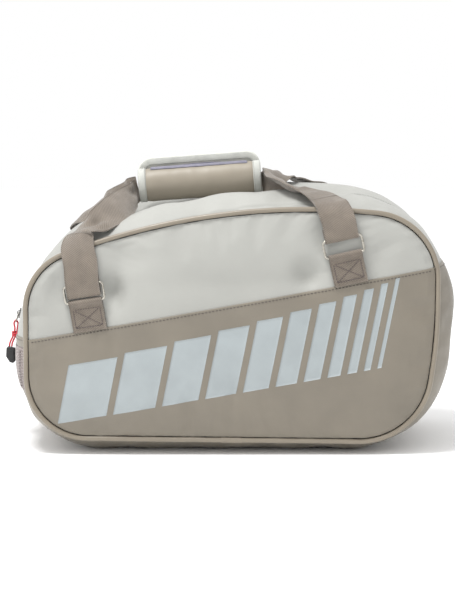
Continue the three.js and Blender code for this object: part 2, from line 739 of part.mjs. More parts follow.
// Round the ring's upper bar, in the anchor's frame: distance up the strap, and out from the panel.
function loopStations(matrix, slack) {
  const bar = ANCHOR_LENGTH + RING_PITCH;
  const fold = bar - slack;
  const radius = RING_WIRE_R + 0.5 + WEBBING_T / 2;
  const back = RING_STAND_OFF - radius;
  const turn = [90, 60, 30, 0, -30, -60, -90].map((degrees) => {
    const angle = rad(degrees);
    return [fold - radius * Math.cos(angle), RING_STAND_OFF - radius * Math.sin(angle)];
  });
  const route = [[bar + 14, back], [fold + 4, back], ...turn, [bar + 4, RING_STAND_OFF + radius]];
  return route.map(([up, out]) => ({
    at: new THREE.Vector3(0, up, out).applyMatrix4(matrix),
    across: new THREE.Vector3().setFromMatrixColumn(matrix, 0),
  }));
}

// The rest of each leg, from above its ring to the end of the grip wrap, for the front handle.
// The back handle is its mirror image in Y.
const LEG_ROUTES = {
  left: [
    { at: [-177, -137.5, 231], across: [0.97, 0, 0.22] },
    { at: [-180, -133, 244], across: [0.96, 0, 0.28] },
    { at: [-182, -127, 252.5], across: [0.95, 0, 0.32] },
    { at: [-182, -114, 261], across: [0.94, 0, 0.35] },
    { at: [-178, -94, 269], across: [0.94, 0.05, 0.34] },
    { at: [-170, -72, 277], across: [0.92, 0.2, 0.36] },
    { at: [-157, -50, 286], across: [0.75, 0.35, 0.6] },
    { at: [-143, -32, 296], across: [0.4, 0.3, 0.88] },
    { at: [-132, -17, 305], across: [0.12, 0.15, 0.98] },
    { at: [-124.5, -7, 311.5], across: [-0.05, 0, 1] },
    { at: [-118.8, -5, 313], across: [-0.07, 0, 1] },
  ],
  right: [
    { at: [125, -136.5, 281], across: [0.98, 0, 0.1] },
    { at: [121, -132, 291], across: [0.99, 0, 0.04] },
    { at: [117, -125, 298], across: [1, 0, 0] },
    { at: [113, -112, 305], across: [1, 0.1, 0] },
    { at: [106, -92, 313], across: [0.93, 0.35, 0] },
    { at: [95, -74, 317], across: [0.75, 0.65, 0] },
    { at: [81, -56, 320], across: [0.55, 0.8, 0.2] },
    { at: [67, -38, 324], across: [0.4, 0.75, 0.5] },
    { at: [55, -21, 326.5], across: [0.15, 0.45, 0.85] },
    { at: [47, -8, 326], across: [-0.07, 0.1, 1] },
    { at: [41.5, -5, 325], across: [-0.07, 0, 1] },
  ],
};

function addLeg(name, matrix, anchor, side) {
  const rest = LEG_ROUTES[anchor.name].map(({ at, across }) => ({
    at: new THREE.Vector3(at[0], -side * at[1], at[2]),
    across: new THREE.Vector3(across[0], -side * across[1], across[2]).normalize(),
  }));
  const loop = loopStations(matrix, anchor.slack);
  // Across points along +X on the legs, and the anchor frame's X points along -X at the back.
  if (loop[0].across.x < 0) loop.forEach((s) => s.across.negate());
  add(`handle_strap_${name}`, ribbon([...loop, ...rest], WEBBING_T), material(COLOURS.webbing, 0.85));
}

function addHandleSide(side, sideName) {
  ANCHORS.forEach((anchor) => {
    const name = `${sideName}_${anchor.name}`;
    const matrix = anchorFrame(anchor, side);
    addAnchor(name, matrix);
    addRing(name, matrix);
    addLeg(name, matrix, anchor, side);
  });
}

// ---- Grip wrap ----------------------------------------------------------------------------

const grip = new THREE.Group();
grip.position.set(GRIP.x, 0, GRIP.z);
grip.rotation.y = -rad(GRIP.tilt);
bag.add(grip);

// A point of the wrap's oval section. Angle 0 is its top and 90 its front.
function ovalPoint(degrees, inset) {
  const angle = rad(degrees);
  const y = -(GRIP.halfDepth - inset) * Math.sin(angle);
  return new THREE.Vector2(y, (GRIP.halfHeight - inset) * Math.cos(angle));
}

// A band of the oval between two angles and two insets, extruded along the grip.
function ovalBand(from, to, outer, inner, start, length, steps = 18) {
  const angles = Array.from({ length: steps + 1 }, (_, k) => from + ((to - from) * k) / steps);
  const outline = [
    ...angles.map((a) => ovalPoint(a, outer)),
    ...[...angles].reverse().map((a) => ovalPoint(a, inner)),
  ];
  const band = new THREE.ExtrudeGeometry(new THREE.Shape(outline), { depth: length, bevelEnabled: false });
  // The shape's X is the bag's Y and its Y is Z, so it is extruded along X.
  band.applyMatrix4(new THREE.Matrix4().makeBasis(
    new THREE.Vector3(0, 1, 0),
    new THREE.Vector3(0, 0, 1),
    new THREE.Vector3(1, 0, 0),
  ));
  band.translate(start, 0, 0);
  return band;
}

const WRAP_FROM = -14; // the wrap's free edge, just past the top
const WRAP_TO = 300; // the fold where the flap starts, up the back
const HINGE = { y: 14.4, z: 11.5 };
const FLAP = { height: 22.5, thickness: 3, lean: 10 };

function addWrap() {
  const half = GRIP.length / 2;
  const taupe = material(COLOURS.taupePanel, 0.4);
  const pale = material(COLOURS.binding, 0.7);
  const inner = half - GRIP_BINDING - GAP;
  add("grip_wrap", ovalBand(WRAP_FROM, WRAP_TO, 0, 2.6, -inner, 2 * inner), taupe, grip);
  const liningBand = ovalBand(WRAP_FROM, WRAP_TO, 2.9, 3.9, -inner, 2 * inner, 14);
  add("grip_lining", liningBand, material(COLOURS.lining, 0.85), grip);
  add("grip_binding_left", ovalBand(WRAP_FROM, WRAP_TO, -0.6, 3.6, -half, GRIP_BINDING), pale, grip);
  const right = ovalBand(WRAP_FROM, WRAP_TO, -0.6, 3.6, half - GRIP_BINDING, GRIP_BINDING);
  add("grip_binding_right", right, pale, grip);
  const loopTape = ovalBand(WRAP_FROM + 4, 26, -1.3, -GAP, -inner + 6, 2 * inner - 12, 4);
  add("grip_loop_tape", loopTape, material(COLOURS.lining, 0.9), grip);
}

// The flap, from its fold at the back of the wrap up to its bound edge.
function addFlap() {
  const half = GRIP.length / 2;
  const outer = new THREE.Shape();
  const inset = GRIP_BINDING;
  const flapShape = (side, top, corner) => {
    const shape = new THREE.Shape();
    shape.moveTo(-side, 1);
    shape.lineTo(side, 1);
    shape.lineTo(side, top - corner);
    shape.absarc(side - corner, top - corner, corner, 0, Math.PI / 2);
    shape.lineTo(-side + corner, top);
    shape.absarc(-side + corner, top - corner, corner, Math.PI / 2, Math.PI);
    return shape;
  };
  const { height, thickness } = FLAP;
  const plateShape = flapShape(half - inset, height - inset, 5);
  const plateCut = { depth: thickness, bevelEnabled: false, curveSegments: 4 };
  const plate = new THREE.ExtrudeGeometry(plateShape, plateCut);
  plate.translate(0, 0, -thickness / 2);
  outer.copy(flapShape(half, height, 13));
  const frameCut = { depth: thickness + 1.2, bevelEnabled: false, curveSegments: 6 };
  const frame = new THREE.ExtrudeGeometry(outer, frameCut);
  frame.translate(0, 0, -(thickness + 1.2) / 2);
  const cutShape = flapShape(half - inset + GAP, height - inset + GAP, 5);
  const cut = new THREE.ExtrudeGeometry(cutShape, { depth: 20, bevelEnabled: false, curveSegments: 4 });
  cut.translate(0, -2, -10);
  const cutTop = cut.clone().translate(0, 2, 0);
  const binding = solidOf(frame).subtract(solidOf(cutTop)).subtract(solidOf(cut));
  const flap = new THREE.Group();
  flap.position.set(0, HINGE.y, HINGE.z);
  flap.rotation.x = Math.PI / 2 + rad(FLAP.lean);
  grip.add(flap);
  add("grip_flap", plate, material(COLOURS.taupePanel, 0.45), flap);
  add("grip_flap_binding", geometryOf(binding), material(COLOURS.binding, 0.7), flap);
  const tape = new THREE.BoxGeometry(2 * (half - inset) - 12, height - inset - 3.5, 1);
  tape.translate(0, (height - inset) / 2 + 0.5, thickness / 2 + 0.5 + GAP);
  add("grip_hook_tape", tape, material(COLOURS.lining, 0.9), flap);
}

// The two handles' webbing, side by side inside the wrap.
function addCores() {
  [
    ["front", -1],
    ["back", 1],
  ].forEach(([name, side]) => {
    const core = new THREE.BoxGeometry(GRIP.length, WEBBING_T, 26);
    core.translate(0, side * 3.4, -0.5);
    add(`handle_core_${name}`, core, material(COLOURS.webbing, 0.85), grip);
  });
}

// ---- The whole bag ------------------------------------------------------------------------

addGusset();
addPiping(-1, "front");
addPiping(1, "back");
addPanels(-1, "front");
addPanels(1, "back");
addBaseBoard();
addZip();
addSlider();
addPuller();
addCordAndToggle();
addGrabStrap();
addHandleSide(-1, "front");
addHandleSide(1, "back");
addWrap();
addFlap();
addCores();

export default group;
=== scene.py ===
"""A two-tone racket duffel bag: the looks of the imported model, built around its frame.

Shapes are worked out in millimetres, in the frame's axes (+X along the bag, -Y its front, +Z up),
and become metres when a mesh is made.
"""
import math

import bpy
import numpy as np
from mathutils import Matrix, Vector


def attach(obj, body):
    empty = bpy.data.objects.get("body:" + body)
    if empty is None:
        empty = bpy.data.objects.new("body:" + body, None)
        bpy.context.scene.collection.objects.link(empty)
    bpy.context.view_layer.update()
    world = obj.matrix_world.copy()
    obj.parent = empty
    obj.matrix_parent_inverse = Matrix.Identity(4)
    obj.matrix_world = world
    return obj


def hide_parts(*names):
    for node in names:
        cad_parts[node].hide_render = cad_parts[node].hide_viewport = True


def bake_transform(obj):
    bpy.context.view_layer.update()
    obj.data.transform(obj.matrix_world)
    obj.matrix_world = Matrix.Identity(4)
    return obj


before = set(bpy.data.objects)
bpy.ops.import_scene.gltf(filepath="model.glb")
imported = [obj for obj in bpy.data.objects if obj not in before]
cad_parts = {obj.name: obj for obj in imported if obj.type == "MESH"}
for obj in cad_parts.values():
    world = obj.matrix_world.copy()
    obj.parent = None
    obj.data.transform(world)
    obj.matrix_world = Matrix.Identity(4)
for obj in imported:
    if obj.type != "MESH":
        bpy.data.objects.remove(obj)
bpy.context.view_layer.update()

MM = 0.001

# ---- Driving dimensions, the same as the CAD's --------------------------------------------

SEAM_CORNERS = [  # where panel, piping and gusset meet: x, z and the corner's radius
    (-243, 222, 70), (-21.6, 305.3, 800), (243.6, 281.6, 80),
    (243.6, 141.5, 500), (226, 15.5, 85), (-243, 21, 73),
]
CREST_CORNERS = [  # halfway between the panels, where the gusset stands furthest out
    (-263, 233.5, 150), (-21.6, 319.3, 650), (267, 292, 132),
    (267, 143, 350), (248, 0, 122), (-263, 0, 110),
]
COLOUR_SEAM_LEFT_Z = 139
COLOUR_SEAM_RIGHT_Z = 226
GUSSET_Y = 122.6
CREST_FLAT = 0.6
HUMP_FRONT, HUMP_BACK = 2.5, 7
SAG_DEPTH, SAG_SHARE = 9, 0.5
SAG_LEFT, SAG_RIGHT = (-178, -110), (110, 170)
ZIP_EDGE = 12.6
PIPING_Y, PIPING_OUT, PIPING_R = 126.6, 0.4, 3.0
SLEEVE_HALF, SLEEVE_R = 12, 3.45
GAP = 0.3  # left between pieces that touch
FLOOR_GAP = 0.3

PANEL_INSET = 3.2
PANEL_Y = 127
PANEL_DOME = 14
PANEL_CENTRE = np.array([0.0, 155.0])
DIAGONAL_MID_Z = 181.2
DIAGONAL_SLOPE = 0.18

WEBBING = 40
WEBBING_T = 1.4
ANCHORS = {"left": (-165.6, 9, 12), "right": (140.5, 12.5, 0)}  # x, lean in degrees, slack
ANCHOR_LENGTH = 34
ANCHOR_LIFT = 0.9
RING_PITCH = 20
RING_SPAN = 46.5
RING_WIRE_R = 1.5
RING_STAND_OFF = 4.3

GRIP_X, GRIP_Z, GRIP_TILT = -38.6, 319.5, 4.2
GRIP_LENGTH, GRIP_HALF_DEPTH, GRIP_HALF_HEIGHT = 152, 16, 20
GRIP_BINDING = 10
SIDES = {"front": -1, "back": 1}
BAG_MIDDLE = np.array([0.0, 0.0, 150.0])
FLAT = ((0, 0), (1, 0))  # values by share of the way along a strap: none anywhere
EVEN = ((0, 1), (1, 1))  # and full everywhere


# ---- Camera, lights and floor -------------------------------------------------------------

def link(obj):
    bpy.context.scene.collection.objects.link(obj)
    return obj


def add_camera():
    elevation, distance = math.radians(6.5), 2.2  # metres
    data = bpy.data.cameras.new("camera")
    data.sensor_width = 36
    data.lens = 110.6
    camera = link(bpy.data.objects.new("camera", data))
    target = Vector((-0.0045, -0.128, 0.1815))
    camera.location = target + Vector((0, -math.cos(elevation), math.sin(elevation))) * distance
    camera.rotation_euler = (math.pi / 2 - elevation, 0, 0)
    bpy.context.scene.camera = camera


def add_area_light(name, place, target, size, watts):
    data = bpy.data.lights.new(name, "AREA")
    data.shape = "DISK"
    data.size = size
    data.energy = watts
    light = link(bpy.data.objects.new(name, data))
    light.location = place
    light.rotation_euler = (Vector(target) - Vector(place)).to_track_quat("-Z", "Y").to_euler()


def add_stage():
    world = bpy.data.worlds.new("studio")
    bpy.context.scene.world = world
    world.use_nodes = True
    background = world.node_tree.nodes["Background"]
    background.inputs["Color"].default_value = (1, 1, 1, 1)
    background.inputs["Strength"].default_value = 1.0
    bpy.context.scene.view_settings.view_transform = "Standard"
    bpy.context.scene.view_settings.look = "None"
    centre = (0, 0, 0.15)
    add_area_light("key", (-0.55, -0.6, 2.3), centre, 0.8, 50)
    add_area_light("fill", (-1.6, -1.9, 1.0), centre, 1.2, 7)
    half = 6
    mesh = bpy.data.meshes.new("floor")
    corners = [(-half, -half, 0), (half, -half, 0), (half, half, 0), (-half, half, 0)]
    mesh.from_pydata(corners, [], [(0, 1, 2, 3)])
    floor = link(bpy.data.objects.new("floor", mesh))
    pale = Surface("floor_pale", (255, 255, 255), 0.9)
    mesh.materials.append(pale.material)


# ---- Materials ----------------------------------------------------------------------------

def linear(colour):
    """An sRGB colour, 0 to 255, as the linear values that a shader takes."""
    shares = [c / 255 for c in colour]
    return [s / 12.92 if s < 0.04045 else ((s + 0.055) / 1.055) ** 2.4 for s in shares]


class Surface:
    """A procedural material: one Principled shader and the nodes that feed it."""

    def __init__(self, name, colour, roughness, metallic=0.0, **uniform):
        self.material = bpy.data.materials.new(name)
        self.material.use_nodes = True
        self.tree = self.material.node_tree
        self.shader = self.tree.nodes["Principled BSDF"]
        self.shader.inputs["Base Color"].default_value = (*linear(colour), 1)
        self.shader.inputs["Roughness"].default_value = roughness
        self.shader.inputs["Metallic"].default_value = metallic
        for socket, value in uniform.items():
            self.shader.inputs[socket.replace("_", " ")].default_value = value
        self.colour = colour
        self.normal = None

    def node(self, kind, inputs=(), output=0, **settings):
        node = self.tree.nodes.new("ShaderNode" + kind)
        for key, value in settings.items():
            setattr(node, key, value)
        for key, value in dict(inputs).items():
            if isinstance(value, bpy.types.NodeSocket):
                self.tree.links.new(value, node.inputs[key])
            else:
                node.inputs[key].default_value = value
        return node.outputs[output]

    def maths(self, operation, a, b=0.0):
        return self.node("Math", {0: a, 1: b}, operation=operation)

    def place(self):
        """Where a point is on the resting object, in metres."""
        return self.node("TexCoord", output="Object")

    def cloth(self):
        """Distances along and across the piece's own cloth, in metres."""
        uv = self.node("UVMap", uv_map="cloth")
        return [self.node("SeparateXYZ", {0: uv}, output=axis) for axis in (0, 1)]

    def noise(self, size, detail=2, stretch=None):
        """Noise whose blotches are about size millimetres across."""
        where = self.place()
        if stretch:
            where = self.node("VectorMath", {0: where, 1: stretch}, operation="MULTIPLY")
        return self.node("TexNoise", {"Vector": where, "Scale": 1 / (size * MM), "Detail": detail})

    def cells(self, size):
        """A pebbled grain of this size in millimetres."""
        inputs = {"Vector": self.place(), "Scale": 1 / (size * MM)}
        return self.node("TexVoronoi", inputs, feature="SMOOTH_F1")

    def ribs(self, distance, pitch):
        """Rounded ribs of this pitch in millimetres, from -1 to 1."""
        return self.maths("SINE", self.maths("MULTIPLY", distance, 2 * math.pi / (pitch * MM)))

    def weave(self, pitch):
        """A plain weave's height: threads of this pitch in millimetres, over and under."""
        along, across = self.cloth()
        return self.maths("MULTIPLY", self.ribs(along, pitch), self.ribs(across, pitch))

    def between(self, value, low, high, out_low=0.0, out_high=1.0):
        inputs = {0: value, 1: low, 2: high, 3: out_low, 4: out_high}
        return self.node("MapRange", inputs, clamp=True)

    def cloud(self, size, detail=4, spread=0.2):
        """Soft blotches about size millimetres across, from 0 to 1."""
        return self.between(self.noise(size, detail), 0.5 - spread, 0.5 + spread)

    def tint(self, share, dark, light):
        """Colours the surface between a darker and a lighter shade of its own colour."""
        ends = [(*linear([c * shade for c in self.colour]), 1) for shade in (dark, light)]
        mixed = self.node("Mix", {0: share, 6: ends[0], 7: ends[1]}, output=2, data_type="RGBA")
        self.tree.links.new(mixed, self.shader.inputs["Base Color"])

    def dull(self, share, smooth, rough):
        """Lets the roughness wander between two values."""
        roughness = self.between(share, 0, 1, smooth, rough)
        self.tree.links.new(roughness, self.shader.inputs["Roughness"])

    def emboss(self, height, depth):
        """Adds relief, depth in millimetres, on top of any already there."""
        inputs = {"Height": height, "Distance": depth * MM, "Strength": 1.0}
        if self.normal:
            inputs["Normal"] = self.normal
        self.normal = self.node("Bump", inputs)
        self.tree.links.new(self.normal, self.shader.inputs["Normal"])


def coated_cloth(name, colour, roughness, grain=0.9):
    """Polyurethane coated cloth: a fine pebbled grain, soft blotches and a satin face."""
    s = Surface(name, colour, roughness, Sheen_Weight=0.08, Coat_Weight=0.06, Coat_Roughness=0.35)
    s.emboss(s.cells(grain), 0.035)
    s.emboss(s.noise(0.35), 0.02)
    s.emboss(s.noise(38), 0.5)
    s.tint(s.cloud(60), 0.955, 1.03)
    s.dull(s.cloud(9, 5), roughness - 0.05, roughness + 0.07)
    return s.material


def panel_cloth(name, colour, roughness):
    """Tight plain-woven cloth with a matt coating."""
    s = Surface(name, colour, roughness, Sheen_Weight=0.15, Sheen_Roughness=0.5)
    s.emboss(s.weave(0.8), 0.03)
    s.emboss(s.noise(0.5), 0.03)
    s.emboss(s.noise(46), 0.7)
    s.tint(s.cloud(80), 0.97, 1.015)
    s.dull(s.cloud(6), roughness - 0.05, roughness + 0.05)
    return s.material


def webbing_cloth(name, colour, slant=1.0, pitch=2.6):
    """Twill webbing: slanting ridges with fine threads over and under them, painted shade in their
    valleys.
    """
    s = Surface(name, colour, 0.62, Sheen_Weight=0.35, Sheen_Roughness=0.4)
    along, across = s.cloth()
    ridges = s.ribs(s.maths("ADD", s.maths("MULTIPLY", along, slant), across), pitch)
    s.emboss(ridges, 0.2)
    s.emboss(s.weave(0.62), 0.05)
    s.emboss(s.noise(0.4), 0.03)
    worn = s.between(s.noise(14, 4), 0.3, 0.7, 0, 0.35)
    # Painted shade: the colour darkens in the valleys between the ridges; the paler worn blotches
    # are real wear.
    share = s.maths("ADD", s.between(ridges, -1, 1, 0, 0.65), worn)
    s.tint(share, 0.82, 1.1)
    s.dull(share, 0.72, 0.52)
    return s.material


def tape_cloth(name, colour, pitch=1.0):
    """Grosgrain tape: fine ribs across its run."""
    s = Surface(name, colour, 0.78, Sheen_Weight=0.2)
    s.emboss(s.ribs(s.cloth()[0], pitch), 0.09)
    s.emboss(s.weave(0.5), 0.03)
    s.tint(s.cloud(12), 0.95, 1.02)
    return s.material


def lining_cloth(name, colour):
    """Thin, openly woven cloth."""
    s = Surface(name, colour, 0.85, Sheen_Weight=0.3)
    s.emboss(s.weave(0.9), 0.08)
    s.tint(s.cloud(7), 0.86, 1.08)
    return s.material


def plated_metal(name, colour, roughness):
    """Polished plating with fine scratches."""
    s = Surface(name, colour, roughness, metallic=1.0)
    scratches = s.noise(1.2, 4, stretch=(1, 6, 1))
    s.emboss(scratches, 0.012)
    s.emboss(s.noise(4), 0.03)
    s.tint(s.cloud(5, 3, 0.15), 0.9, 1.0)
    s.dull(s.between(scratches, 0.3, 0.7), roughness - 0.05, roughness + 0.1)
    return s.material


def moulded_plastic(name, colour, roughness):
    """Rubber or plastic straight from its mould."""
    s = Surface(name, colour, roughness, Coat_Weight=0.15, Coat_Roughness=0.2)
    s.emboss(s.noise(0.7), 0.04)
    s.emboss(s.noise(4, 3), 0.08)
    s.tint(s.cloud(3, 4, 0.15), 0.8, 1.3)
    s.dull(s.cloud(1.5), roughness - 0.08, roughness + 0.1)
    return s.material


def braided_cord(name, colour):
    """A round braid, whose strands slant both ways, with painted shade in the grooves between them.
    """
    s = Surface(name, colour, 0.6, Sheen_Weight=0.4)
    slants = [s.ribs(s.maths(way, *s.cloth()), 1.15) for way in ("ADD", "SUBTRACT")]
    strands = s.maths("MAXIMUM", *slants)
    s.emboss(strands, 0.16)
    # Painted shade: the colour darkens in the grooves between the strands.
    s.tint(s.between(strands, -0.4, 1), 0.6, 1.08)
    return s.material


def printed_film(name, colour):
    """A thin satin print that takes the coated cloth's grain."""
    s = Surface(name, colour, 0.42, Coat_Weight=0.1, Coat_Roughness=0.3)
    s.emboss(s.cells(0.9), 0.02)
    s.emboss(s.noise(38), 0.5)
    s.tint(s.cloud(30, 5), 0.97, 1.02)
    s.dull(s.cloud(5, 5), 0.38, 0.5)
    return s.material


def sewing_thread(name, colour):
    s = Surface(name, colour, 0.6, Sheen_Weight=0.3)
    s.emboss(s.noise(0.25), 0.05)
    s.tint(s.cloud(2, 3), 0.85, 1.1)
    return s.material


add_camera()
GREY_CLOTH = panel_cloth("grey_cloth", (156, 156, 151), 0.62)
TAUPE_CLOTH = coated_cloth("taupe_coated_cloth", (116, 109, 97), 0.46)
WRAP_CLOTH = coated_cloth("wrap_coated_cloth", (138, 130, 116), 0.52, 0.7)
PIPING_VINYL = coated_cloth("piping_vinyl", (127, 118, 104), 0.34, 0.6)
WEBBING_CLOTH = webbing_cloth("twill_webbing", (116, 106, 95))
GRAB_CLOTH = webbing_cloth("ribbed_webbing", (126, 112, 108), 0.0, 3.4)
# The flap's cloth is painted lighter than its own colour: painted light that offsets the shade
# falling on the flap as it leans forward.
FLAP_CLOTH_PAINTED_LIGHT = coated_cloth("flap_coated_cloth_painted_light", (186, 186, 178), 0.5, 0.7)
# The flap's binding is the same tape as the grip's binding tape, painted lighter: painted light
# that offsets the flap's shade.
FLAP_TAPE_PAINTED_LIGHT = tape_cloth("flap_binding_tape_painted_light", (206, 207, 200))
BINDING_TAPE = tape_cloth("binding_tape", (182, 183, 177))
ZIP_TAPE = tape_cloth("zip_tape", (170, 171, 166), 0.8)
ZIP_COIL = moulded_plastic("zip_coil", (160, 161, 156), 0.4)
LINING = lining_cloth("woven_lining", (118, 117, 130))
HOOK_TAPE = lining_cloth("hook_tape", (112, 110, 126))
NICKEL = plated_metal("nickel_plate", (186, 182, 172), 0.24)
GUNMETAL = plated_metal("dark_nickel", (120, 119, 118), 0.28)
RED_CORD = braided_cord("red_braid", (214, 22, 48))
BLACK_RUBBER = moulded_plastic("black_rubber", (15, 15, 16), 0.5)
BOARD = moulded_plastic("board_plastic", (60, 60, 62), 0.7)
PRINT = printed_film("pale_print", (148, 155, 157))
TAUPE_THREAD = sewing_thread("taupe_thread", (66, 58, 50))
PINK_THREAD = sewing_thread("webbing_thread", (66, 54, 54))
PALE_THREAD = sewing_thread("pale_thread", (150, 151, 146))
add_stage()


# ---- Mesh making --------------------------------------------------------------------------

def unit(v):
    v = np.asarray(v, float)
    return v / np.maximum(np.linalg.norm(v, axis=-1, keepdims=True), 1e-12)


def running_total(steps):
    return np.concatenate([[0], np.cumsum(steps)])


def run_lengths(line):
    """Distance along a line of points, at each of them."""
    return running_total(np.linalg.norm(np.diff(line, axis=0), axis=1))


def frame_matrix(x_axis, y_axis, z_axis, origin):
    matrix = np.eye(4)
    matrix[:3, 0], matrix[:3, 1], matrix[:3, 2], matrix[:3, 3] = x_axis, y_axis, z_axis, origin
    return matrix


def transform(matrix, points):
    return np.asarray(points, float) @ matrix[:3, :3].T + matrix[:3, 3]


def make_mesh(name, points, faces, cloth=None):
    """An object from points in millimetres, faces, and each point's pair of cloth coordinates."""
    points = np.asarray(points, float) * MM
    mesh = bpy.data.meshes.new(name)
    mesh.from_pydata(points.tolist(), [], faces)
    volume = 0.0
    for polygon in mesh.polygons:
        corners = [mesh.vertices[i].co for i in polygon.vertices]
        for a, b in zip(corners[1:], corners[2:]):
            volume += corners[0].dot(a.cross(b))
    if volume < 0:
        mesh.flip_normals()
    cloth = points[:, [0, 2]] if cloth is None else np.asarray(cloth, float)
    loops = np.empty(len(mesh.loops), dtype=np.int32)
    mesh.loops.foreach_get("vertex_index", loops)
    mesh.uv_layers.new(name="cloth").data.foreach_set("uv", cloth[loops].ravel())
    mesh.polygons.foreach_set("use_smooth", [True] * len(mesh.polygons))
    return link(bpy.data.objects.new(name, mesh))


def place(obj, material, body="bag", nodes=(), slot=None, fill=None):
    """Gives a piece its material, what it rides on, and the CAD nodes it stands for.

    The body is a name, which the piece is attached to, or two names and two points, with which
    the piece is left unattached where it stands. The fill is not used."""
    obj.data.materials.append(material)
    if isinstance(body, str):
        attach(obj, body)
    else:
        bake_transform(obj)
    if nodes:
        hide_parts(*nodes)
    return obj


def grid_faces(rows, columns, start=0, loop_rows=False, loop_columns=False):
    faces = []
    for i in range(rows if loop_rows else rows - 1):
        here, there = start + i * columns, start + (i + 1) % rows * columns
        for j in range(columns if loop_columns else columns - 1):
            k = (j + 1) % columns
            faces.append((here + j, here + k, there + k, there + j))
    return faces


def ring_faces(count, sides, start=0, closed=False):
    """Faces over rings of points that follow each other, capped at both ends unless closed."""
    faces = grid_faces(count, sides, start, loop_rows=closed, loop_columns=True)
    if not closed:
        last = start + (count - 1) * sides
        faces.append(tuple(range(start + sides - 1, start - 1, -1)))
        faces.append(tuple(range(last, last + sides)))
    return faces


def ring_mesh(name, rings, around, closed=False):
    """A mesh over rings of points, with the distance round a ring at each of its points."""
    along = run_lengths(rings.mean(axis=1))
    cloth = np.stack(np.meshgrid(along, around, indexing="ij"), axis=2).reshape(-1, 2) * MM
    faces = ring_faces(*rings.shape[:2], closed=closed)
    return make_mesh(name, rings.reshape(-1, 3), faces, cloth)


def grid_normals(grid):
    normal = np.cross(np.gradient(grid, axis=0), np.gradient(grid, axis=1))
    return normal / np.maximum(np.linalg.norm(normal, axis=2, keepdims=True), 1e-9)


def normals_from(grid, centre):
    """A grid's normals, on the side turned away from the centre."""
    normal = grid_normals(grid)
    return -normal if np.sum(normal * (grid - centre)) < 0 else normal


def cloth_lengths(grid):
    """Distance along and across a grid of points, in metres, for its cloth coordinates."""
    along = np.linalg.norm(np.diff(grid, axis=0), axis=2).mean(axis=1)
    across = np.linalg.norm(np.diff(grid, axis=1), axis=2).mean(axis=0)
    lengths = np.meshgrid(running_total(along) * MM, running_total(across) * MM, indexing="ij")
    return np.stack(lengths, axis=2).reshape(-1, 2)


def rim_indices(rows, columns):
    """The points round a grid's edge, in order."""
    rim = [i * columns for i in range(rows)]
    rim += [(rows - 1) * columns + j for j in range(1, columns)]
    rim += [i * columns + columns - 1 for i in range(rows - 2, -1, -1)]
    return rim + list(range(columns - 2, 0, -1))


def shell(name, grid, thickness, normal=None, cloth=None, soft=0.35, cut=False):
    """A closed sheet of cloth with its outer face on the grid, by default the face turned away
    from the bag's middle. Its rim is drawn in a little. Ends that are cut aren't drawn in, and
    are flat faces, so that the cloth shades on across the cut."""
    rows, columns = grid.shape[:2]
    if normal is None:
        normal = normals_from(grid, BAG_MIDDLE)
    drawn = normal * thickness * soft
    edge = grid.copy()
    if not cut:
        edge[[0, -1]] -= drawn[[0, -1]]
    edge[:, [0, -1]] -= drawn[:, [0, -1]]
    inner = grid - normal * thickness
    points = np.concatenate([edge.reshape(-1, 3), inner.reshape(-1, 3)])
    n = rows * columns
    faces = grid_faces(rows, columns)
    faces += [tuple(reversed(f)) for f in grid_faces(rows, columns, n)]
    rim = rim_indices(rows, columns)
    flat = []
    for a, b in zip(rim, rim[1:] + rim[:1]):
        if cut and a // columns == b // columns:
            flat.append(len(faces))
        faces.append((b, a, n + a, n + b))
    if cloth is None:
        cloth = cloth_lengths(grid)
    obj = make_mesh(name, points, faces, np.concatenate([cloth, cloth]))
    for index in flat:
        obj.data.polygons[index].use_smooth = False
    return obj


def resample(points, step, extra=None):
    """Points every step along a smooth curve through the given ones, with any extra values."""
    points = np.asarray(points, float)
    data = points if extra is None else np.hstack([points, np.asarray(extra, float)])
    data = np.vstack([2 * data[0] - data[1], data, 2 * data[-1] - data[-2]])
    gaps = np.linalg.norm(np.diff(data[:, :3], axis=0), axis=1)
    knots = running_total(np.maximum(gaps, 1e-6) ** 0.5)
    out = []
    for i in range(1, len(data) - 2):
        p0, p1, p2, p3 = data[i - 1:i + 3]
        t0, t1, t2, t3 = knots[i - 1:i + 3]
        count = max(1, int(round(gaps[i] / step)))
        for k in range(count):
            t = t1 + (t2 - t1) * k / count
            a1 = p0 + (p1 - p0) * (t - t0) / (t1 - t0)
            a2 = p1 + (p2 - p1) * (t - t1) / (t2 - t1)
            a3 = p2 + (p3 - p2) * (t - t2) / (t3 - t2)
            b1 = a1 + (a2 - a1) * (t - t0) / (t2 - t0)
            b2 = a2 + (a3 - a2) * (t - t1) / (t3 - t1)
            out.append(b1 + (b2 - b1) * (t - t1) / (t2 - t1))
    return np.array(out + [data[-2]])


def path_frames(path, closed):
    """The tangent and two sideways directions at each point of a path, with no sudden twist."""
    if closed:
        tangent = unit(np.roll(path, -1, 0) - np.roll(path, 1, 0))
    else:
        tangent = unit(np.gradient(path, axis=0))
    side = unit(np.cross(tangent[0], [0.03, 1, 0.02]))
    frames = []
    for t in tangent:
        side = unit(side - t * side.dot(t))
        frames.append((t, side, np.cross(t, side)))
    return frames


def round_cap(centre, out, ring, radius):
    """Two smaller rings that round off a tube's end."""
    steps = ((0.8, 0.45), (0.4, 0.75))
    return [centre + (ring - centre) * size + out * radius * far for size, far in steps]


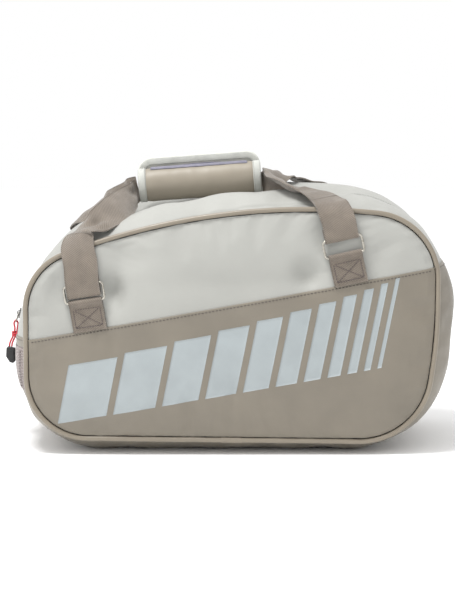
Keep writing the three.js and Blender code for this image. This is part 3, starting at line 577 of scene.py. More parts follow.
def tube(name, path, radius, sides=12, closed=False):
    """A tube along a path, with rounded ends unless it is closed."""
    path = np.asarray(path, float)
    radii = np.broadcast_to(np.asarray(radius, float), len(path))
    frames = path_frames(path, closed)
    twist = 0.0
    if closed:  # the leftover twist is spread along the loop
        start, end = frames[0][1], frames[-1]
        twist = math.atan2(start.dot(end[2]), start.dot(end[1]))
    rings = []
    for i, (_, a, b) in enumerate(frames):
        angles = np.arange(sides) / sides * 2 * math.pi + twist * i / len(path)
        ring = np.outer(np.cos(angles), a) + np.outer(np.sin(angles), b)
        rings.append(path[i] + ring * radii[i])
    if not closed:
        start = round_cap(path[0], -frames[0][0], rings[0], radii[0])
        end = round_cap(path[-1], frames[-1][0], rings[-1], radii[-1])
        rings = start[::-1] + rings + end
    around = np.arange(sides) / sides * 2 * math.pi * radii.mean()
    return ring_mesh(name, np.array(rings), around, closed)


def sweep(name, path, across, out, profile):
    """A profile of (across, out) points carried along a path, with flat ends."""
    sideways = across[:, None] * profile[None, :, :1]
    outwards_by = out[:, None] * profile[None, :, 1:]
    return ring_mesh(name, path[:, None] + sideways + outwards_by, run_lengths(profile))


def rounded_profile(width, height, corner, steps=3):
    """A rounded rectangle's outline, centred, anticlockwise."""
    points = []
    for k, (sx, sy) in enumerate([(1, 1), (-1, 1), (-1, -1), (1, -1)]):
        for j in range(steps + 1):
            angle = (k + j / steps) * math.pi / 2
            points.append((sx * (width / 2 - corner) + corner * math.cos(angle),
                           sy * (height / 2 - corner) + corner * math.sin(angle)))
    return np.array(points)


def rounded_corners(corners, radius, steps=4):
    """An outline with each sharp corner rounded off."""
    corners = np.asarray(corners, float)
    points = []
    for i, here in enumerate(corners):
        back = unit(corners[i - 1] - here)
        ahead = unit(corners[(i + 1) % len(corners)] - here)
        for k in range(steps + 1):
            t = k / steps
            points.append(here + back * radius * (1 - t) ** 2 + ahead * radius * t ** 2)
    return points


def wire_loop(width, length, corner, matrix, step=0.8):
    """The centre line of a rounded rectangle of wire in local X-Y."""
    points = []
    outline = rounded_profile(width, length, corner, 6)
    for a, b in zip(outline, np.roll(outline, -1, 0)):
        count = max(1, int(np.linalg.norm(b - a) / step))
        points += [(*(a + (b - a) * k / count), 0) for k in range(count)]
    return transform(matrix, points)


def slab(name, outline, low, high, bevel, matrix, steps=3):
    """A plate cut to an outline in local X-Y, from low to high in local Z, with rounded edges."""
    outline = np.asarray(outline, float)
    after = np.roll(outline, -1, 0)
    ahead = unit(after - np.roll(outline, 1, 0))
    outward = np.stack([ahead[:, 1], -ahead[:, 0]], axis=1)
    if np.sum(outline[:, 0] * after[:, 1] - after[:, 0] * outline[:, 1]) < 0:
        outward = -outward
    layers = []
    for angle in np.linspace(0, math.pi / 2, steps + 1):
        layers.append((bevel * (1 - math.sin(angle)), low + bevel * (1 - math.cos(angle))))
    layers += [(inset, high - (z - low)) for inset, z in reversed(layers)]
    rings = []
    for inset, z in layers:
        rings.append(np.column_stack([outline - outward * inset, np.full(len(outline), z)]))
    points = np.concatenate(rings)
    faces = ring_faces(len(rings), len(outline))
    return make_mesh(name, transform(matrix, points), faces, points[:, :2] * MM)


STITCH_ALONG = np.array([0, 0.12, 0.5, 0.88, 1])  # a stitch's rings: shares of its length,
STITCH_HEIGHT = np.array([-0.5, 0.1, 0.45, 0.1, -0.5])  # their heights off the cloth
STITCH_GIRTH = np.array([0.45, 0.9, 1, 0.9, 0.45])  # and sizes, as shares of the thread's radius
STITCH_SIDES = 6


def stitches(name, paths, material, body="bag", pitch=3.4, length=2.5, radius=0.34):
    """Rows of thread stitches as one piece. Each path is (points, outward vectors)."""
    corners = [k * math.pi / 3 for k in range(STITCH_SIDES)]
    points, faces = [], []
    for line, out in paths:
        line = np.asarray(line, float)
        out = np.broadcast_to(unit(out), line.shape)
        far = run_lengths(line)
        for k in range(int(far[-1] // pitch)):
            where = (k + 0.15) * pitch + STITCH_ALONG * length
            spine = np.stack([np.interp(where, far, line[:, c]) for c in range(3)], axis=1)
            up = unit(np.stack([np.interp(where, far, out[:, c]) for c in range(3)], axis=1))
            side = unit(np.cross(up, np.gradient(spine, axis=0)))
            faces += ring_faces(len(spine), STITCH_SIDES, len(points))
            for centre, u, w, h, g in zip(spine, up, side, STITCH_HEIGHT, STITCH_GIRTH):
                ring = [(u * math.cos(angle) + w * math.sin(angle)) * g for angle in corners]
                points += [centre + (u * h + corner) * radius for corner in ring]
    return place(make_mesh(name, points, faces), material, body)


def ribbon_grid(stations, width, step=2.5, columns=17, curl=FLAT, narrow=EVEN, crumple=0.0, seed=1):
    """Points over a strap's middle surface, and their normals, from rows of (place, across).

    Curl is how far its middle stands off its edges, and narrow its width as a share of the full
    one, both by share of the way along."""
    rows = resample([s[0] for s in stations], step, extra=[s[1] for s in stations])
    path, across = rows[:, :3], rows[:, 3:]
    along = unit(np.gradient(path, axis=0))
    across = unit(across - along * np.sum(across * along, axis=1, keepdims=True))
    out = np.cross(across, along)
    share = np.linspace(-1, 1, columns)
    far = run_lengths(path)
    widths = width * np.interp(far / far[-1], *zip(*narrow))
    grid = path[:, None] + across[:, None] * (share[None, :] * widths[:, None] / 2)[..., None]
    lift = np.interp(far / far[-1], *zip(*curl))[:, None] * (1 - share[None, :] ** 2)
    if crumple:
        calm = np.sin(np.clip(far / far[-1], 0, 1) * math.pi) ** 0.7
        folds = ripple(far[:, None], share[None, :] * width * 0.35, 46, seed)
        lift += crumple * calm[:, None] * folds
    grid = grid + out[:, None] * lift[..., None]
    return grid, grid_normals(grid)


def strap(name, grid, normal, thickness=1.7, cut=False):
    return shell(name, grid + normal * thickness / 2, thickness, normal, soft=0.3, cut=cut)


SETTLE_FRAMES = 20
SETTLE_CAP = 3.2  # millimetres


def run_cloth(obj, slack, pressure):
    """Lets an object settle as cloth, held at its group of points, and returns where they end."""
    cloth = obj.modifiers.new("cloth", "CLOTH")
    settings = cloth.settings
    settings.quality = 6
    settings.mass = 0.3
    settings.bending_stiffness = 1.5
    settings.vertex_group_mass = "held"
    settings.shrink_min = -slack
    settings.use_pressure = True
    settings.uniform_pressure_force = pressure
    settings.effector_weights.gravity = 0
    cloth.collision_settings.use_self_collision = False
    cloth.point_cache.frame_start = 1
    cloth.point_cache.frame_end = SETTLE_FRAMES
    for frame_number in range(1, SETTLE_FRAMES + 1):
        bpy.context.scene.frame_set(frame_number)
    moved = obj.evaluated_get(bpy.context.evaluated_depsgraph_get()).data
    places = np.empty(len(moved.vertices) * 3)
    moved.vertices.foreach_get("co", places)
    return places / MM


def settle(grid, held, slack, pressure):
    """Lets a band of cloth with this shape, cut a little large, buckle between the points held.

    The band's rows go round. Returns how far each point moves out, in millimetres."""
    rows, columns = grid.shape[:2]
    mesh = bpy.data.meshes.new("settling")
    faces = grid_faces(rows, columns, loop_rows=True)
    mesh.from_pydata((grid.reshape(-1, 3) * MM).tolist(), [], faces)
    obj = link(bpy.data.objects.new("settling", mesh))
    group = obj.vertex_groups.new(name="held")
    group.add([int(i) for i in np.flatnonzero(held.ravel())], 1.0, "REPLACE")
    shift = run_cloth(obj, slack, pressure).reshape(grid.shape) - grid
    bpy.data.objects.remove(obj)
    bpy.data.meshes.remove(mesh)
    bpy.context.scene.frame_set(1)
    moved_out = np.sum(shift * normals_from(grid, BAG_MIDDLE), axis=2)
    return np.clip(moved_out, -SETTLE_CAP, SETTLE_CAP)


def table_value(table, row, column):
    """A table's value between its rows, which go round, and its columns."""
    rows, columns = table.shape
    row = np.mod(row, rows)
    column = np.clip(column, 0, columns - 1.001)
    r, c = np.floor(row).astype(int), np.floor(column).astype(int)
    r2 = (r + 1) % rows
    a, b = row - r, column - c
    near = table[r, c] * (1 - b) + table[r, c + 1] * b
    far = table[r2, c] * (1 - b) + table[r2, c + 1] * b
    return near * (1 - a) + far * a


# ---- The outline and the bag's surfaces ---------------------------------------------------

def corner_arcs(corners):
    """Each rounded corner's centre, radius, first angle and turn."""
    arcs = []
    for i, (x, z, radius) in enumerate(corners):
        here = np.array([x, z], float)
        into = unit(here - np.array(corners[i - 1][:2], float))
        out = unit(np.array(corners[(i + 1) % len(corners)][:2], float) - here)
        turn = math.acos(into.dot(out))
        start = here - into * radius * math.tan(turn / 2)
        normal = np.array([-into[1], into[0]])
        arcs.append((start - normal * radius, radius, math.atan2(normal[1], normal[0]), turn))
    return arcs


def rounded_outline(corners, step):
    """Points and outward normals along a rounded outline, clockwise seen from the front."""
    stations = []
    arcs = corner_arcs(corners)
    for i, (centre, radius, start, turn) in enumerate(arcs):
        count = max(6, int(radius * turn / step))
        for k in range(count + 1):
            angle = start - turn * k / count
            normal = np.array([math.cos(angle), math.sin(angle)])
            stations.append((*(centre + normal * radius), *normal))
        centre2, radius2, start2, _ = arcs[(i + 1) % len(arcs)]
        here = np.array(stations[-1])
        normal2 = np.array([math.cos(start2), math.sin(start2)])
        there = np.array([*(centre2 + normal2 * radius2), *normal2])
        pieces = max(1, int(np.linalg.norm(there[:2] - here[:2]) / step))
        for k in range(1, pieces):
            stations.append(here + (there - here) * k / pieces)
    return np.array(stations, float)


def bulge_from(stations, crest):
    """How far the crest is from each station, straight out along its normal."""
    edge = np.roll(crest, -1, 0) - crest
    nearest = np.full(len(stations), np.inf)
    for i, (x, z, nx, nz) in enumerate(stations):
        to = crest - [x, z]
        cross = nx * edge[:, 1] - nz * edge[:, 0]
        cross = np.where(np.abs(cross) < 1e-9, np.nan, cross)
        along = (to[:, 0] * edge[:, 1] - to[:, 1] * edge[:, 0]) / cross
        share = (to[:, 0] * nz - to[:, 1] * nx) / cross
        good = (along > 0) & (share >= -1e-6) & (share <= 1 + 1e-6)
        nearest[i] = along[good].min()
    return nearest


class Outline:
    """The seam outline by distance s, clockwise from the middle of the bottom."""

    def __init__(self):
        stations = rounded_outline(SEAM_CORNERS, 2.5)
        crest = rounded_outline(CREST_CORNERS, 2.5)[:, :2]
        bulge = bulge_from(stations, crest)
        table = np.hstack([stations, bulge[:, None]])
        bottom = np.argmin(np.abs(table[:, 0]) + np.where(table[:, 1] > 60, 1e6, 0))
        table = np.roll(table, -bottom, 0)
        table = np.vstack([table, table[:1]])
        gaps = np.linalg.norm(np.diff(table[:, :2], axis=0), axis=1)
        self.s = running_total(gaps)
        self.length = self.s[-1]
        self.table = table
        self.left = self.find(lambda x, z: (x < -200) & (z > COLOUR_SEAM_LEFT_Z), first=True)
        self.right = self.find(lambda x, z: (x > 200) & (z > COLOUR_SEAM_RIGHT_Z), first=False)

    def find(self, test, first):
        fine = np.linspace(0, self.length, 8000)
        x, z = self.at(fine)[:2]
        hits = fine[test(x, z)]
        return hits[0] if first else hits[-1]

    def at(self, s):
        """x, z, the normal's x and z, and the bulge, at distances s."""
        s = np.mod(s, self.length)
        return [np.interp(s, self.s, self.table[:, k]) for k in range(5)]


OUTLINE = Outline()


def outwards(s):
    """The way out of the bag at distances s along the seam."""
    _, _, nx, nz, _ = OUTLINE.at(s)
    return np.stack([nx, 0 * nx, nz], axis=-1)


def piping_path(s, y):
    """Points at distances s along the piping, a little outside the seam."""
    x, z, nx, nz, _ = OUTLINE.at(s)
    return np.stack([x + nx * PIPING_OUT, np.broadcast_to(y, x.shape), z + nz * PIPING_OUT], axis=1)


def smooth_step(value, low, high):
    t = np.clip((value - low) / (high - low), 0, 1)
    return t * t * (3 - 2 * t)


def ripple(a, b, size, seed, octaves=3):
    """Soft folds from a few sine waves, about size millimetres long, between -1 and 1."""
    rng = np.random.default_rng(seed)
    total = 0.0
    for k in range(octaves):
        for _ in range(3):
            angle = rng.uniform(0, math.pi)
            turn = 2 * math.pi / (size * rng.uniform(0.7, 1.4) / (1.7 ** k))
            phase = rng.uniform(0, 2 * math.pi)
            far = a * math.cos(angle) + b * math.sin(angle)
            total = total + np.sin(far * turn + phase) / 1.8 ** k
    return total / 5.0


CREASE_LEFT, CREASE_RIGHT = -80, 70  # a crease along the front top strip, in x
CREASE_DEPTH, CREASE_HALF_WIDTH = 2.6, 1.9
HOLLOW_X, HOLLOW_Y, HOLLOW_SIZE, HOLLOW_DEPTH = -133, -78, 34, 5.0  # where the left strap pulls
END_DRAWN_IN = 4.5  # at the left end, in front of the zip pull
SETTLED = {}  # how far the cloth of the gusset and of a panel settles outwards


def end_flatness(x, z, v):
    """1 where the gusset lies flat, under the zip pull and in front of it, and 0 elsewhere."""
    beside = (1 - smooth_step(v, 0.1, 0.4)) * (1 - smooth_step(x, -235, -195))
    return beside * smooth_step(z, 45, 70) * (1 - smooth_step(z, 200, 235))


def slack_folds(s, x, v, up):
    """How far the gusset's slack cloth stands out: broad folds, puckers and creases."""
    y = v * GUSSET_Y
    middle = np.sin(math.pi * np.clip((1 - np.abs(v)) / 0.9, 0, 1)) ** 0.8
    broad = (ripple(s, y, 95, 11) * 1.5 - 0.5) * middle
    puckers = np.sin(s / 6.1 + 2.4 * np.sin(s / 37)) * 0.35 * smooth_step(np.abs(v), 0.86, 0.97)
    line = 1 - 0.1 * np.clip((x - CREASE_LEFT) / (CREASE_RIGHT - CREASE_LEFT), 0, 1)
    shown = smooth_step(x, CREASE_LEFT, CREASE_LEFT + 25)
    shown = shown * (1 - smooth_step(x, CREASE_RIGHT, CREASE_RIGHT + 60))
    crease = CREASE_DEPTH * shown * np.exp(-((y + line * GUSSET_Y) / CREASE_HALF_WIDTH) ** 2)
    away = ((x - HOLLOW_X) ** 2 + (y - HOLLOW_Y) ** 2) / HOLLOW_SIZE ** 2
    return broad + puckers - up * (crease + HOLLOW_DEPTH * np.exp(-away))


def gusset_grid(s, v, lift=0.0, wrinkle=1.0):
    """Points on the gusset's outer face, by distance s along the seam and share v of half its
    depth, which is -1 at the front and 1 at the back."""
    x, z, nx, nz, bulge = [c[:, None] for c in OUTLINE.at(s)]
    v = np.asarray(v, float)[None, :]
    outer = np.maximum(0, np.abs(v) - CREST_FLAT) / (1 - CREST_FLAT)
    up = np.maximum(0, nz) ** 2
    hump = np.where(v < 0, HUMP_FRONT, HUMP_BACK) * up * np.sin(math.pi * np.abs(v)) ** 2
    ends = smooth_step(x, *SAG_LEFT) * (1 - smooth_step(x, *SAG_RIGHT))
    sag = SAG_DEPTH * up * ends * (1 - smooth_step(np.abs(v), 0, SAG_SHARE))
    flat = end_flatness(x, z, v)
    wrinkle = wrinkle * (1 - flat)
    drawn_in = END_DRAWN_IN * flat * np.sin(math.pi * np.clip(-v, 0, 1)) ** 0.7
    out = bulge * (1 - outer * outer) + hump - sag + lift - drawn_in
    out = out + wrinkle * slack_folds(s[:, None], x, v, up)
    if "gusset" in SETTLED:
        table = SETTLED["gusset"]
        row = s[:, None] / OUTLINE.length * len(table)
        column = (np.broadcast_to(v, out.shape) + 1) / 2 * (table.shape[1] - 1)
        out = out + wrinkle * table_value(table, row + 0 * column, column)
    height = np.maximum(z + nz * out, FLOOR_GAP)
    return np.stack([x + nx * out, np.broadcast_to(v * GUSSET_Y, out.shape), height], axis=2)


def polar_edge():
    """The panel's edge as a distance from its centre, by angle."""
    x, z, nx, nz, _ = OUTLINE.at(np.linspace(0, OUTLINE.length, 1200, endpoint=False))
    edge = np.stack([x - nx * PANEL_INSET, z - nz * PANEL_INSET], axis=1) - PANEL_CENTRE
    angle = np.arctan2(edge[:, 1], edge[:, 0])
    order = np.argsort(angle)
    radius = np.linalg.norm(edge, axis=1)[order]
    angle = angle[order]
    return np.concatenate([angle - 2 * math.pi, angle, angle + 2 * math.pi]), np.tile(radius, 3)


EDGE_ANGLE, EDGE_RADIUS = polar_edge()


def diagonal_z(x):
    """Height of the two-tone seam."""
    return DIAGONAL_MID_Z + DIAGONAL_SLOPE * x


def panel_share(x, z):
    """0 at the panel's centre and 1 at its edge."""
    dx, dz = x - PANEL_CENTRE[0], z - PANEL_CENTRE[1]
    reach = np.interp(np.arctan2(dz, dx), EDGE_ANGLE, EDGE_RADIUS)
    return np.hypot(dx, dz) / reach


DENTS = [  # in the upper panel, where the straps pull: x, z, half width, half height, depth
    (-138, 195, 13, 18, 14.0), (-120, 236, 26, 14, 3.0), (90, 216, 17, 17, 12.0),
    (108, 256, 16, 18, 4.0), (170, 222, 13, 28, 4.5), (-206, 196, 12, 26, 3.0),
    (10, 205, 110, 14, 1.6),
]
SHARE_START = 0.05  # a settled panel's innermost ring
FOLD_SIZE, FOLD_HEIGHT, FOLD_SEED = 150, 1.2, 21
ANCHOR_CALM = 24, 60  # millimetres from an anchor's middle, over which the folds come in


def panel_depth(x, z, lift=0.0, folds=1.0):
    """The panel's outward depth at a point, with its soft folds."""
    share = np.minimum(1, panel_share(x, z))
    depth = PANEL_Y + PANEL_DOME * (1 - share ** 2.4)
    quiet = 1.0
    for anchor_x, _, _ in ANCHORS.values():
        up = diagonal_z(anchor_x) + 22
        far = np.hypot(x - anchor_x + 4, (z - up) * 0.8)
        quiet = quiet * smooth_step(far, *ANCHOR_CALM)
    quiet = quiet * smooth_step(1 - share, 0.0, 0.18)
    for dent_x, dent_z, wide, high, deep in DENTS:
        away = ((x - dent_x) / wide) ** 2 + ((z - dent_z) / high) ** 2
        depth = depth - folds * deep * np.exp(-away) * smooth_step(1 - share, 0, 0.1)
    depth = depth + folds * quiet * FOLD_HEIGHT * ripple(x, z * 1.2, FOLD_SIZE, FOLD_SEED)
    angle = np.arctan2(z - PANEL_CENTRE[1], x - PANEL_CENTRE[0])
    pucker = np.sin(angle * 95) * 0.3 * smooth_step(share, 0.93, 0.985)
    if "panel" in SETTLED and folds:
        table = SETTLED["panel"]
        column = (share - SHARE_START) / (1 - SHARE_START) * (table.shape[1] - 1)
        settled = table_value(table, angle / (2 * math.pi) * len(table), column)
        depth = depth + folds * settled * smooth_step(share, SHARE_START, 0.2)
    return depth + folds * pucker + lift


def polar_grid(angle, share):
    """x and z on a panel, by angle and share of the way out from its centre."""
    reach = np.interp(angle, EDGE_ANGLE, EDGE_RADIUS)
    x = PANEL_CENTRE[0] + np.outer(np.cos(angle) * reach, share)
    return x, PANEL_CENTRE[1] + np.outer(np.sin(angle) * reach, share)


def settle_panel():
    """The cloth panel, held by its piping and the four straps' anchors."""
    turns, rings = 120, 26
    angle = np.arange(turns) / turns * 2 * math.pi
    share = np.linspace(SHARE_START, 1, rings)
    x, z = polar_grid(angle, share)
    held = np.broadcast_to(share > 0.99, x.shape).copy()
    for anchor_x, _, _ in ANCHORS.values():
        foot = diagonal_z(anchor_x)
        held |= (np.abs(x - anchor_x) < 18) & (z > foot) & (z < foot + 50)
    start = panel_points(x, z, -1, folds=0.3)
    return 0.8 * settle(start, held, slack=0.012, pressure=2.0)


def settle_gusset():
    """The gusset, held by its two pipings, its cross seams and, along the top, the zip."""
    stations, columns = 150, 33
    s = np.arange(stations) / stations * OUTLINE.length
    v = np.linspace(-1, 1, columns)
    start = gusset_grid(s, v, wrinkle=0.5)
    held = np.broadcast_to(np.abs(v) > 0.99, (stations, columns)).copy()
    top = (s > OUTLINE.left) & (s < OUTLINE.right)
    held |= top[:, None] & (np.abs(v) < 0.1)[None, :]
    held |= (np.min(np.abs(s[:, None] - [OUTLINE.left, OUTLINE.right]), axis=1) < 4)[:, None]
    held |= (start[..., 2] < 1.5)
    return 0.6 * settle(start, held, slack=0.01, pressure=1.0)


def panel_points(x, z, side, **options):
    return np.stack([x, side * panel_depth(x, z, **options), z], axis=-1)


def flat_cloth(x, z):
    """Cloth coordinates for a panel that is cut from flat cloth."""
    return np.stack([x.ravel(), z.ravel()], axis=1) * MM


# ---- Panels -------------------------------------------------------------------------------

FOLD_ROWS = np.array([0, 0.25, 0.6, 1.1, 1.8, 2.8, 4.5])  # millimetres in from a folded edge
CLOTH_T, FOLDED_T = 2.6, 3.0  # the upper cloth, and the lower with its folded edge
OVERLAP = 3.5  # how far the upper cloth runs on under the folded edge
SEAM_STITCH_IN, SEAM_STITCH_LIFT = 3.4, 1.6  # a seam's stitches, from the fold and off the cloth
PANEL_FILL, GUSSET_FILL, WRAP_FILL, TAPE_FILL = 0.6, 0.5, 0.7, 0.6  # of the padded pieces


def panel_grid(upper, columns, rows):
    """x and z on one half of a panel: columns along the diagonal seam, rows out to the piping."""
    if upper:
        s = np.linspace(OUTLINE.left, OUTLINE.right, columns)
    else:
        s = np.linspace(OUTLINE.left, OUTLINE.right - OUTLINE.length, columns)
    x, z, nx, nz, _ = OUTLINE.at(s)
    edge = np.stack([x - nx * PANEL_INSET, z - nz * PANEL_INSET], axis=1)
    first, last = edge[0], edge[-1]
    share = np.linspace(0, 1, columns)
    share = share * 0.6 + smooth_step(share, 0, 1) * 0.4
    seam_x = first[0] + (last[0] - first[0]) * share
    seam = np.stack([seam_x, diagonal_z(seam_x)], axis=1)
    gap = np.maximum(np.linalg.norm(edge - seam, axis=1), 1e-3)
    near = np.minimum(FOLD_ROWS[None, :] / gap[:, None], 0.008 * np.arange(len(FOLD_ROWS)))
    far = near[:, -1:] + (1 - near[:, -1:]) * np.linspace(0, 1, rows)[None, 1:]
    reach = np.hstack([near, far])
    grid = seam[:, None] + (edge - seam)[:, None] * reach[..., None]
    return grid[..., 0], grid[..., 1]


def lap_height(inwards, height=1.5, roll=1.1):
    """How far a folded edge stands proud, by distance in from its fold."""
    rolled = np.sqrt(np.clip(1 - (1 - np.clip(inwards / roll, 0, 1)) ** 2, 0, 1))
    return height * rolled * (0.45 + 0.55 * np.exp(-np.maximum(inwards - 6, 0) / 9))


def add_panels(name, side):
    """A panel's upper half, and its lower half with the edge folded over the upper one."""
    x, z = panel_grid(True, 220, 46)
    overlap = OVERLAP * np.exp(-np.maximum(z - diagonal_z(x), 0) / 6)
    grid = panel_points(x, z - overlap, side)
    upper = shell(f"{name}_upper_cloth", grid, CLOTH_T, cloth=flat_cloth(x, z))
    place(upper, GREY_CLOTH, "bag", [f"{name}_panel_upper"], "grey_fabric", fill=PANEL_FILL)
    x, z = panel_grid(False, 240, 60)
    grid = panel_points(x, z, side, lift=lap_height(diagonal_z(x) - z))
    lower = shell(f"{name}_lower_cloth", grid, FOLDED_T, cloth=flat_cloth(x, z))
    place(lower, TAUPE_CLOTH, "bag", [f"{name}_panel_lower"], "taupe_coated", fill=PANEL_FILL)
    x = np.arange(-237, 238, 1.5)
    line = panel_points(x, diagonal_z(x) - SEAM_STITCH_IN, side, lift=SEAM_STITCH_LIFT)
    rows = [(line, (0, side, 0))]
    stitches(f"{name}_diagonal_stitches", rows, TAUPE_THREAD, "bag", 4.2, 3.0, 0.52)


PRINT_LOW_LEFT = (-206, 38)
PRINT_SLOPE = math.tan(math.radians(10.1))
PRINT_HEIGHT = 70
PRINT_LEAN = 0.2
PRINT_GAP = 8
PRINT_LIFT, PRINT_T = 0.22, 0.4
PRINT_BARS = [58, 50, 43, 36.5, 30.5, 25, 20, 15.5, 11.5, 8, 5]


def add_print():
    """A run of slanted bars that narrow to the right, laid over the lower front panel."""
    start = PRINT_LOW_LEFT[0]
    for k, width in enumerate(PRINT_BARS):
        rise = np.linspace(0, PRINT_HEIGHT + 3.5 * k, 26)
        run = np.linspace(0, width, max(5, int(width / 2.5)))
        x = start + run[:, None] + rise[None, :] * PRINT_LEAN
        z = PRINT_LOW_LEFT[1] + (x - PRINT_LOW_LEFT[0]) * PRINT_SLOPE + rise[None, :] * 0.98
        lap = lap_height(diagonal_z(x) - z)
        grid = panel_points(x, z, -1, lift=lap + PRINT_LIFT)
        film = shell(f"front_print_bar_{k + 1}", grid, PRINT_T, soft=0.2)
        place(film, PRINT, "bag", slot="print")
        start += width + PRINT_GAP


PANEL_LINING_IN, GUSSET_LINING_IN, LINING_T = 5.6, 6.2, 0.6
LINING_FLOOR = 5.0


def add_linings():
    """A lining inside each panel, and one inside the gusset that lies over the bottom."""
    angle = np.linspace(-math.pi, math.pi, 121)
    x, z = polar_grid(angle, np.linspace(0.03, 0.975, 22))
    for name, side in SIDES.items():
        grid = panel_points(x, z, side, lift=0.35 * ripple(x, z, 60, 5) - PANEL_LINING_IN)
        lining = shell(f"{name}_lining_cloth", grid, LINING_T, cloth=flat_cloth(x, z))
        place(lining, LINING, "bag", [f"{name}_lining"], "lining")
    s = np.linspace(2, OUTLINE.length - 2, 300)
    grid = gusset_grid(s, np.linspace(-0.94, 0.94, 26), lift=-GUSSET_LINING_IN)
    grid[..., 2] = np.maximum(grid[..., 2], LINING_FLOOR)
    lining = shell("gusset_lining_cloth", grid, LINING_T)
    place(lining, LINING, "bag", ["gusset_lining"], "lining")


# ---- Gusset -------------------------------------------------------------------------------

TOP_T = 2.4
TUCKED = 4  # how far the top strips run on under the base's folded ends
ZIP_STITCH_IN = 3.2
SEWN_SHARE = 0.97  # of half the gusset's depth, as far as a cross seam or a strap shows


def add_gusset():
    """The two top strips, folded back beside the zip, and the base folded over their ends."""
    s = np.linspace(OUTLINE.left - TUCKED, OUTLINE.right + TUCKED, 300)
    zip_share = ZIP_EDGE / GUSSET_Y
    fold = np.array([0, 0.25, 0.7, 1.3, 2.2]) / GUSSET_Y
    rows = []
    for name, side in SIDES.items():
        middle = np.linspace(0.86, zip_share + 0.03, 30)
        v = side * np.concatenate([np.linspace(1, 0.865, 18), middle, (zip_share + fold)[::-1]])
        roll = lap_height((np.abs(v) - zip_share) * GUSSET_Y, 1.0) - 0.4
        grid = gusset_grid(s, v, lift=roll[None, :])
        top = shell(f"gusset_top_{name}_cloth", grid, TOP_T)
        place(top, GREY_CLOTH, "bag", [f"gusset_top_{name}"], "grey_fabric", fill=GUSSET_FILL)
        path = np.linspace(OUTLINE.left + 2, OUTLINE.right - 2, 500)
        share = zip_share + ZIP_STITCH_IN / GUSSET_Y
        line = gusset_grid(path, [side * share], lift=0.65)[:, 0]
        rows.append((line, outwards(path)))
    stitches("zip_edge_stitches", rows, PALE_THREAD)
    s = np.linspace(OUTLINE.right, OUTLINE.length + OUTLINE.left, 330)
    s = np.sort(np.concatenate([s, s[0] + FOLD_ROWS[1:], s[-1] - FOLD_ROWS[1:]]))
    ends = np.minimum(s - s[0], s[-1] - s)[:, None]
    grid = gusset_grid(s, np.linspace(-1, 1, 64), lift=lap_height(ends))
    base = shell("gusset_base_cloth", grid, FOLDED_T)
    place(base, TAUPE_CLOTH, "bag", ["gusset_base"], "taupe_coated", fill=GUSSET_FILL)
    rows = []
    v = np.linspace(-SEWN_SHARE, SEWN_SHARE, 200)
    for at in (OUTLINE.right + SEAM_STITCH_IN, OUTLINE.left - SEAM_STITCH_IN):
        line = gusset_grid(np.array([at]), v, lift=SEAM_STITCH_LIFT)[0]
        rows.append((line, outwards(at)))
    stitches("gusset_seam_stitches", rows, TAUPE_THREAD)


# ---- Piping -------------------------------------------------------------------------------

def add_piping(name, side):
    """A panel's corded piping, and the sleeve over its joint at the middle of the bottom."""
    s = np.arange(0, OUTLINE.length, 3.0)
    wander = 0.25 * np.sin(s / 41) + 0.15 * np.sin(s / 17 + 1)
    path = piping_path(s, side * (PIPING_Y + wander))
    cord = tube(f"{name}_piping_cord", path, PIPING_R, 14, closed=True)
    place(cord, PIPING_VINYL, "bag", [f"{name}_piping"], "piping")
    s = np.linspace(-SLEEVE_HALF, SLEEVE_HALF, 13)
    radii = SLEEVE_R - 0.1 * (np.abs(s) > SLEEVE_HALF - 1)
    sleeve = tube(f"{name}_piping_sleeve", piping_path(s, side * PIPING_Y), radii, 14)
    place(sleeve, PIPING_VINYL, "bag", [f"{name}_piping_joint"], "piping")


# ---- Zip ----------------------------------------------------------------------------------

COIL_PITCH, COIL_WIRE_R = 2.1, 0.36
COIL_MIDDLE, COIL_HALF_WIDTH, COIL_HALF_HEIGHT = 1.15, 1.5, 0.75
TAPE_T, TAPE_TUCKED = 1.0, 6  # the tape runs on under the strips' folded edges


def add_zip():
    """Two tapes with a coil on each, that mesh in the middle, and a stop at both ends."""
    s = np.linspace(OUTLINE.left + 2, OUTLINE.right - 2, 300)
    for name, side in SIDES.items():
        v = side * np.linspace(0.4, ZIP_EDGE + TAPE_TUCKED, 8) / GUSSET_Y
        grid = gusset_grid(s, v, lift=-1.9)
        grid[:, :3] = gusset_grid(s, v[:3], lift=-1.0)
        tape = shell(f"zip_tape_{name}_cloth", grid, TAPE_T)
        place(tape, ZIP_TAPE, "bag", [f"zip_tape_{name}"], "zip_tape")
        run = np.arange(OUTLINE.left + 6, OUTLINE.right - 6, COIL_PITCH / 10)
        turn = run / COIL_PITCH * 2 * math.pi + (math.pi if side > 0 else 0)
        centre = gusset_grid(run, [0.0], lift=0.55)[:, 0]
        path = centre + outwards(run) * (COIL_HALF_HEIGHT * np.sin(turn))[:, None]
        path[:, 1] = side * (COIL_MIDDLE + COIL_HALF_WIDTH * np.cos(turn))
        coil = tube(f"zip_coil_{name}", path, COIL_WIRE_R, 6)
        place(coil, ZIP_COIL, "bag", ["zip_chain"] if side < 0 else (), "zip_coil")
    for name, at in (("left", OUTLINE.left + 4), ("right", OUTLINE.right - 4)):
        out = outwards(at)
        along = (out[2], 0, -out[0])
        matrix = frame_matrix(along, (0, 1, 0), out, gusset_grid(np.array([at]), [0.0])[0, 0])
        stop = slab(f"zip_stop_{name}_clip", rounded_profile(3.2, 6.2, 0.8), -0.7, 1.9, 0.5, matrix)
        place(stop, NICKEL, "bag", [f"zip_stop_{name}"], "metal")


SLIDER_ANGLE = math.radians(10.4)
ZIP_ARC_X, ZIP_ARC_Z, ZIP_ARC_R = -113, 127.621, 150


